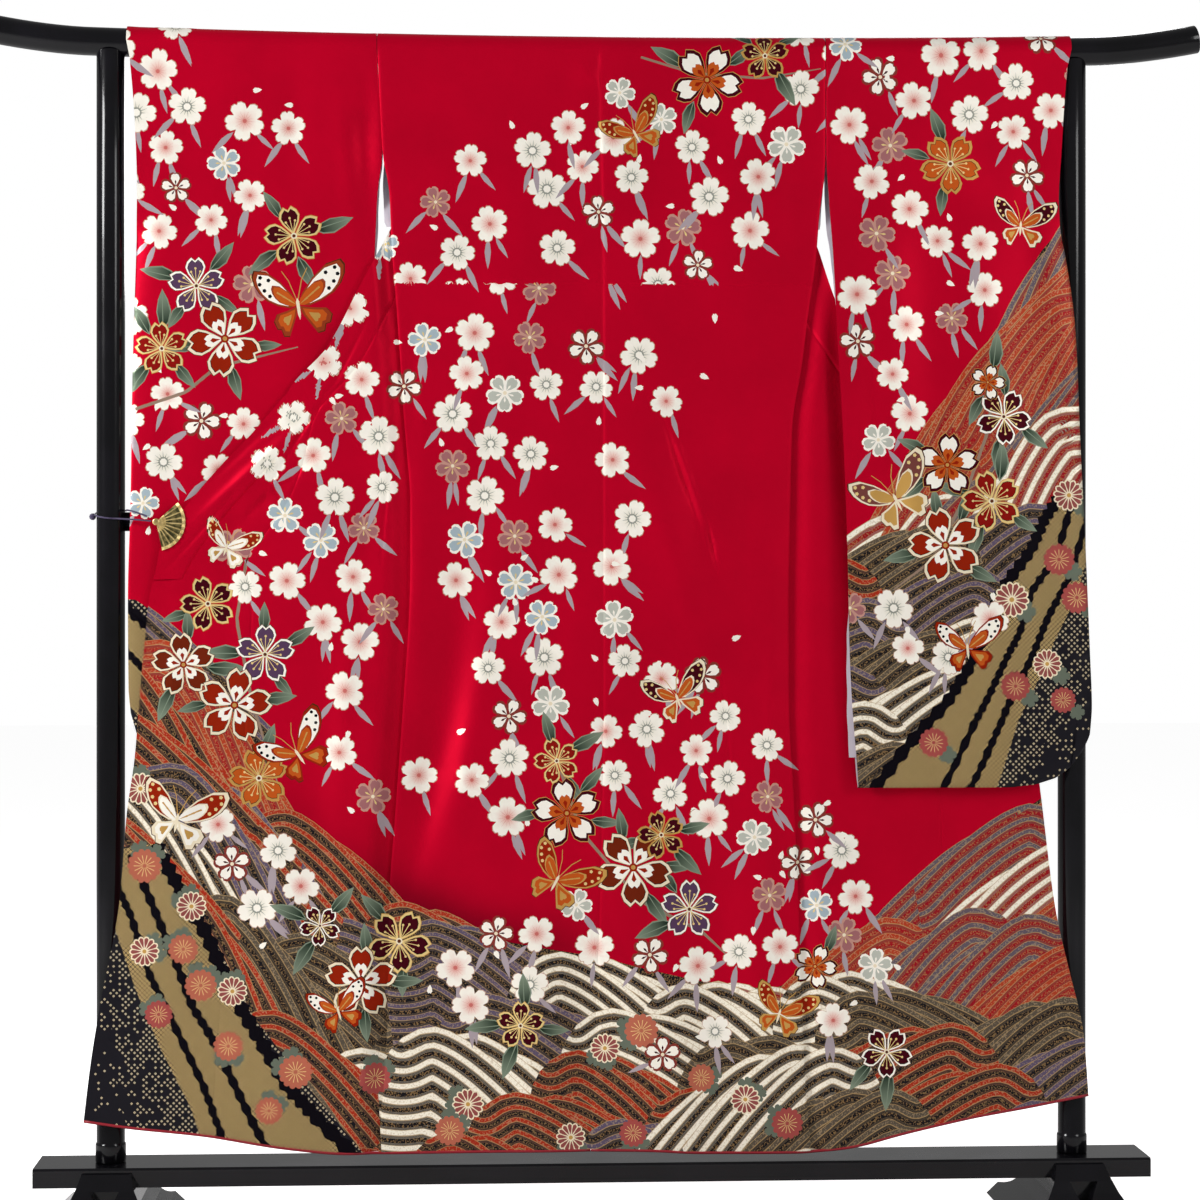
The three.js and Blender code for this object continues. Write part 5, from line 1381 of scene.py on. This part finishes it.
# ---------------------------------------------------------------- the garment
SHELL = 1.2  # thickness of the panels' shells
for side in ("left", "right"):
    [
        keep(sheet(side).mesh(f"{word}_panel_{side}", front_silks + [inside] * 4, SHELL),
             "silk", f"{word}_{side}")
        for word, sheet, inside in (("body", body_sheet, body_inside), ("okumi", okumi_sheet, body_inside),
                                    ("sleeve", sleeve_sheet, sleeve_inside))]


def collar_station(side, seam, z, columns):
    sign = INWARDS[side]
    across, drop_rate, turn = (Curve(COLLAR[side], k)(z) for k in (1, 2, 3))
    turn = math.radians(float(turn))
    z_array = lambda v: np.array([v], float)

    def depth_at(x, height):
        inward = (x - side_x[side](height)) * sign
        return float(turned_depth(side, z_array(inward), z_array(height))[0]
                     + fold_depth([FOLDS, FINE_FOLDS], z_array(x), z_array(height))[0])

    base = depth_at(seam[0], z)
    points = []
    for t in columns:
        reach = SEAM + COLLAR_WIDTH * t if t > 0 else -1.4
        x = seam[0] + sign * reach * across * math.cos(turn)
        drop = reach * drop_rate * math.cos(turn)
        inward = (x - float(side_x[side](z))) * sign
        lift = COLLAR_LIFT * float(smooth(t * 3)) * float(smooth(inward / 20))
        swing = (reach + CLOTH) * math.sin(turn)
        follow = depth_at(x, z - drop) - base
        points.append((x, seam[1] + follow + lift + swing + (0 if t > 0 else 1.5), seam[2] - drop))
    return points


def collar_piece():
    columns = np.linspace(0, 1, 21)
    neck_radius = HANG + 0.9

    def half(side):
        kensaki = OKUMI[side][0][0]
        heights = np.concatenate([down(1668, COLLAR_END[side], 3.0)])
        stations = []
        for degrees in (60, 75, 90):
            z = BAR["z"] + HANG * math.cos(math.radians(degrees))
            seam = (float(front_x[side](1700)), HANG * math.sin(math.radians(degrees)),
                    z + float(bar_rise(NECK)))
            stations.append(collar_station(side, seam, z, columns))
        for z in heights:
            x = float(front_x[side](z) if z > kensaki else okumi_x[side](z))
            inward = (x - float(side_x[side](z))) * INWARDS[side]
            one = lambda v: np.array([v], float)
            y = float(turned_depth(side, one(inward), one(z))[0]
                      + fold_depth([FOLDS, FINE_FOLDS], one(x), one(z))[0])
            rise = float(hem_lift(x, z))
            y = mix(HANG, y, float(smooth((BAR["z"] - z) / 26)))
            stations.append(collar_station(side, (x, y, z + rise), z, columns))
        return stations

    def neck_station(x, degrees):
        points = []
        for t in columns:
            reach = neck_radius * math.radians(degrees) + SEAM + COLLAR_WIDTH * t
            quarter = neck_radius * math.pi / 2
            xt = x * (1 - 0.42 * t)
            rise = BAR["z"] + float(bar_rise(xt))
            if reach < quarter:
                angle = reach / neck_radius
                points.append((xt, neck_radius * math.sin(angle), rise + neck_radius * math.cos(angle)))
            else:
                points.append((xt, neck_radius, rise - (reach - quarter)))
        return points

    neck = [neck_station(t * (NECK - 1.5), mix(NECK_ANGLE, SHOULDER_ANGLE, abs(t)) + 1)
            for t in np.linspace(-1, 1, 41)]
    grid = np.array(half("left")[::-1] + neck + half("right"))
    return grid


def grid_sheet(grid, items, half=CLOTH / 2, towards=-1):
    """A sheet over a grid of middle points, coloured face by face from the print."""
    rows, cols, _ = grid.shape
    normal = np.cross(np.gradient(grid, axis=0), np.gradient(grid, axis=1))
    normal /= np.maximum(np.linalg.norm(normal, axis=2), 1e-9)[..., None]
    outer = (grid + normal * half * towards).reshape(-1, 3)
    index = np.arange(rows * cols).reshape(rows, cols)
    a, b = index[:-1, :-1].ravel(), index[1:, :-1].ravel()
    c, d = index[1:, 1:].ravel(), index[:-1, 1:].ravel()
    faces = np.concatenate([np.stack([a, b, c], 1), np.stack([a, c, d], 1)])
    if towards < 0:
        faces = faces[:, ::-1]
    sheet = Sheet()
    sheet.paint(outer, outer[:, [0, 2]], faces, items, lambda points: np.tile(RED, (len(points), 1)),
                band=True)
    return sheet


collar_grid = collar_piece()
collar = grid_sheet(collar_grid, PRINTS["body"], towards=1).mesh("collar_band", front_silks * 2, 1.6)
keep(collar, "silk", "collar")


def strip(name, rows, material, slot_name, node):
    grid = np.array(rows)
    sheet = grid_sheet(grid, [], half=0.5)
    piece = sheet.mesh(name, [material] * 8, 1.0)
    keep(piece, slot_name, node)
    return piece


for side in ("left", "right"):
    outward = -INWARDS[side]
    inner, _, _, _, far_y = sleeve_of[side]
    reach = Curve(SLEEVE_LINING[side])
    rows = []
    for z in down(SLEEVE_LINING[side][0][0], SLEEVE_LINING[side][-1][0], 8):
        ripple = 0.5 * math.sin(z / 23) + 0.4 * math.sin(z / 9.1)
        xs = np.array([-float(reach(z)) + ripple, 4, 12, 26]) * outward + float(inner(z))
        zs = np.full(4, float(z))
        ys = float(far_y(z)) - CLOTH - 0.9 + fold_depth([SLEEVE_FOLDS], xs, zs)
        rows.append(np.stack([xs, ys, zs], 1))
    strip(f"sleeve_facing_{side}", rows, sleeve_inside, "lining", f"sleeve_lining_{side}")
    reach = Curve(BODY_LINING[side])
    rows = []
    for z in down(BODY_LINING[side][0][0], BODY_LINING[side][-1][0], 6):
        inwards = np.array([-float(reach(z)), 3, 10, 24])
        zs = np.full(4, float(z))
        ys = far_depth(side, np.maximum(inwards, 0), zs) - CLOTH - 1.6
        rows.append(np.stack([float(side_x[side](z)) + INWARDS[side] * inwards, ys, zs], 1))
    strip(f"body_facing_{side}", rows, sleeve_inside, "lining", f"body_lining_{side}")


def ring_faces(rings, sides):
    """Faces between closed rings of points, and over both ends."""
    faces = [(base + j, base + n, base + sides + n, base + sides + j)
             for base in range(0, (rings - 1) * sides, sides)
             for j in range(sides) for n in [(j + 1) % sides]]
    return faces + [tuple(range(sides))[::-1], tuple(range((rings - 1) * sides, rings * sides))]


def ringed(name, points, rings, sides, material):
    faces = ring_faces(rings, sides)
    return new_piece(name, points, faces, [material], 0, [len(f) == 4 for f in faces])


def swept(name, path, radii, material, sides=10):
    """Tube of elliptical section (across, upright) along a path that runs mainly level."""
    path = np.asarray(path, float)
    tangent = np.gradient(path, axis=0)
    tangent /= np.linalg.norm(tangent, axis=1)[:, None]
    across = np.cross(tangent, np.array([0, 0, 1.0]))
    across /= np.maximum(np.linalg.norm(across, axis=1), 1e-9)[:, None]
    lift = np.cross(across, tangent)
    points = [path[k] + across[k] * radii[0] * math.cos(a) + lift[k] * radii[1] * math.sin(a)
              for k in range(len(path)) for a in (2 * math.pi * j / sides for j in range(sides))]
    return ringed(name, points, len(path), sides, material)


def hem_roll(side):
    """Crimson roll under the hem: okumi, front panel, back."""
    path = []
    okumi, turned, back = okumi_surface(side), front_surface(side, True), back_surface(side)
    legs = ((okumi, float(okumi_x[side](HEM_Z)), float(front_x[side](HEM_Z))),
            (turned, float(front_x[side](HEM_Z)), float(side_x[side](HEM_Z)) - INWARDS[side] * 6),
            (back, float(side_x[side](HEM_Z)), float(centre_x(HEM_Z)) - INWARDS[side] * SEAM / 2))
    for surface, x0, x1 in legs:
        line = hem_points(x0, x1)
        spot = surface(line[:, 0], line[:, 1])
        spot[:, 1] += 0.7
        spot[:, 2] -= 1.6
        path += spot.tolist()
    path = np.array(path)
    smoothed = path.copy()
    for _ in range(3):
        smoothed[1:-1] = (smoothed[:-2] + 2 * smoothed[1:-1] + smoothed[2:]) / 4
    return swept(f"hem_roll_{side}", smoothed, (1.7, 2.1), piping_silk)


for side in ("left", "right"):
    keep(hem_roll(side), "piping", f"hem_piping_{side}")


# ---------------------------------------------------------------- the stand
def turned_piece(name, profile, middle, sides=64):
    """Upright turned piece from (radius, height) rows."""
    points = [(middle + radius * math.cos(a), radius * math.sin(a), height)
              for radius, height in profile for a in (2 * math.pi * j / sides for j in range(sides))]
    return ringed(name, points, len(profile), sides, lacquer_black)


for side, sign in (("left", -1), ("right", 1)):
    base = BOARD["bottom"] + BOARD["height"] + 0.3
    top = BAR["z"] + bar_rise(POST["x"]) - 12
    profile = [(18.5, base), (20.9, base + 0.3), (21.5, base + 1.2), (21.5, base + 24.5), (21.2, base + 26),
               (20.3, base + 27.4), (20, base + 28.5), (20, 400), (20, 900), (20, 1400), (20, top - 2),
               (19, top), (16, top + 0.2)]
    post = turned_piece(f"post_round_{side}", profile, sign * POST["x"])
    keep(post, "lacquer", f"post_{side}")

def rounded(piece, width, degrees):
    bevel = piece.modifiers.new("rounded", "BEVEL")
    bevel.width = width
    bevel.segments = 3
    bevel.limit_method = "ANGLE"
    bevel.angle_limit = math.radians(degrees)


def dressed(node, material):
    node.data.materials.clear()
    node.data.materials.append(material)
    return node


xs = np.linspace(-BAR["half"], BAR["half"], 97)
bar_path = np.stack([xs, np.zeros_like(xs), BAR["z"] + bar_rise(xs)], 1)
bar = keep(swept("bar_round", bar_path, (BAR["radius"], BAR["radius"]), lacquer_black, 48),
           "lacquer", "top_bar")
rounded(bar, 0.0015, 50)
rail_path = np.array([(x, 0, RAIL["z"]) for x in np.linspace(-669, 669, 9)], float)
rail = swept("rail_round", rail_path, (RAIL["depth"] / 2, RAIL["height"] / 2), lacquer_black, 40)
keep(rail, "lacquer", "rail")
for name in ("base_board", "foot_left", "foot_right"):
    rounded(dressed(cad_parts[name], lacquer_black), 0.002, 35)
dressed(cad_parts["tie_cord"], cord_silk())


def fan_piece():
    """A pleated leaf with raised ribs and a flat leaf behind it, on one pin, half leaf, half metal edge."""
    x0, z0, radius, start, stop, pleats = -621, 999, 41, -78, 42, 9
    points, faces, kinds = [], [], []

    def strip_of(angles, radii, depth, flip, kind_of):
        base = len(points)
        for i, angle in enumerate(angles):
            for r in radii:
                a = math.radians(angle)
                points.append((x0 + r * math.cos(a), depth(r, i), z0 + r * math.sin(a)))
        n = len(radii)
        for i in range(len(angles) - 1):
            for j in range(n - 1):
                k = base + i * n + j
                quad = (k, k + 1, k + n + 1, k + n)
                faces.append(quad[::-1] if flip else quad)
                kinds.append(kind_of(j))

    angles = np.linspace(start, stop, 2 * pleats + 1)
    front = lambda r, i: -31.4 - (1.9 if i % 2 else 0.2) * r / radius
    strip_of(angles, (3, 14, 36.5, radius), front, True, lambda j: 1 if j != 1 else 0)
    back = lambda r, i: -29.4 + 0.5 * r / radius
    strip_of(np.linspace(start + 6, stop - 6, 13), (3, 20, radius - 3), back, False, lambda j: 0)
    for i in range(1, 2 * pleats, 2):
        across = np.array([-1.0, -1.0, 1.0, 1.0])
        lift = np.array([0.2, -0.8, -0.8, 0.2])
        a = math.radians(angles[i])
        base = len(points)
        for r, half in ((5, 0.45), (36, 0.85)):
            for s, up in zip(across, lift):
                points.append((x0 + r * math.cos(a) - s * half * math.sin(a), front(r, i) + up,
                               z0 + r * math.sin(a) + s * half * math.cos(a)))
        for j in range(4):
            k = (j + 1) % 4
            faces.append((base + j, base + k, base + 4 + k, base + 4 + j))
            kinds.append(1)
        faces += [(base + 3, base + 2, base + 1, base), (base + 4, base + 5, base + 6, base + 7)]
        kinds += [1, 1]
    for y0, y1, r0, r1 in ((-34.6, -34.0, 3.6, 4.5), (-34.0, -28.4, 4.5, 4.5)):
        base = len(points)
        for y, r in ((y0, r0), (y1, r1)):
            points += [(x0 + r * math.cos(t), y, z0 + r * math.sin(t)) for t in np.arange(20) * math.pi / 10]
        faces += [(base + j, base + 20 + j, base + 20 + (j + 1) % 20, base + (j + 1) % 20) for j in range(20)]
        kinds += [1] * 20
    faces += [tuple(range(base - 40, base - 20))[::-1], tuple(range(base + 20, base + 40))]
    kinds += [1, 1]
    metals = [brass("old_brass", (0.03, 0.03, 0.012, 1.0), (0.2, 0.16, 0.06, 1.0)),
              brass("rubbed_brass", (0.5, 0.36, 0.13, 1.0), (0.9, 0.7, 0.32, 1.0))]
    piece = new_piece("fan_clip_pleated", points, faces, metals, kinds, False)
    shell = piece.modifiers.new("thickness", "SOLIDIFY")
    shell.thickness = 0.5 * MM
    shell.offset = 0
    return piece


keep(fan_piece(), "clip_brass", "fan_clip")

# ---------------------------------------------------------------- floor, light and camera
AMBIENT = 0.3
FLOOR_GLOW = 0.68
bpy.ops.mesh.primitive_plane_add(size=24, location=(0, 4, 0))
floor = bpy.context.object
floor.name = "floor"
pale = Nodes("pale_floor")
camera_ray = pale.node("ShaderNodeLightPath", "Is Camera Ray")
glow = pale.tree.nodes.new("ShaderNodeMath")
glow.operation = "MULTIPLY"
glow.inputs[1].default_value = FLOOR_GLOW
pale.put(glow.inputs[0], camera_ray)
floor.data.materials.append(pale.finish(
    Base_Color=(0.97, 0.97, 0.97, 1), Roughness=0.9, Emission_Color=(1, 1, 1, 1),
    Emission_Strength=glow.outputs[0]))

world = bpy.data.worlds.new("studio")
bpy.context.scene.world = world
world.use_nodes = True
sky = world.node_tree
backdrop = sky.nodes["Background"]
backdrop.inputs["Color"].default_value = (1, 1, 1, 1)
softbox = sky.nodes.new("ShaderNodeBackground")
softbox.inputs["Color"].default_value = (1, 1, 1, 1)
softbox.inputs["Strength"].default_value = AMBIENT
seen = sky.nodes.new("ShaderNodeMixShader")
sky.links.new(sky.nodes.new("ShaderNodeLightPath").outputs["Is Camera Ray"], seen.inputs[0])
sky.links.new(softbox.outputs[0], seen.inputs[1])
sky.links.new(backdrop.outputs[0], seen.inputs[2])
sky.links.new(seen.outputs[0], sky.nodes["World Output"].inputs["Surface"])


def area_light(name, place, aim, size, power):
    data = bpy.data.lights.new(name, "AREA")
    data.shape = "RECTANGLE"
    data.size, data.size_y = size
    data.energy = power
    lamp = bpy.data.objects.new(name, data)
    bpy.context.collection.objects.link(lamp)
    lamp.location = place
    lamp.rotation_euler = (Vector(aim) - Vector(place)).to_track_quat("-Z", "Y").to_euler()
    return lamp


area_light("key", (-3.5, -1.8, 2.5), (0, 0, 0.9), (1.0, 1.4), 150)
area_light("fill", (3.0, -3.4, 2.6), (0, 0, 0.8), (1.2, 1.6), 48)
area_light("back", (0.5, 3.6, 2.6), (0, 0, 0.9), (2.4, 1.8), 70)

camera_data = bpy.data.cameras.new("camera")
camera_data.sensor_width = 36.0
camera_data.lens = 83.9
camera_data.shift_x = 0.0037
camera = bpy.data.objects.new("camera", camera_data)
bpy.context.collection.objects.link(camera)
VIEW_TURN = math.radians(3)
camera.location = (-4.0 * math.sin(VIEW_TURN), -4.0 * math.cos(VIEW_TURN), 0.889)
camera.rotation_euler = (math.pi / 2, 0, -VIEW_TURN)
bpy.context.scene.camera = camera
bpy.context.scene.view_settings.view_transform = "Standard"
bpy.context.scene.view_settings.look = "None"
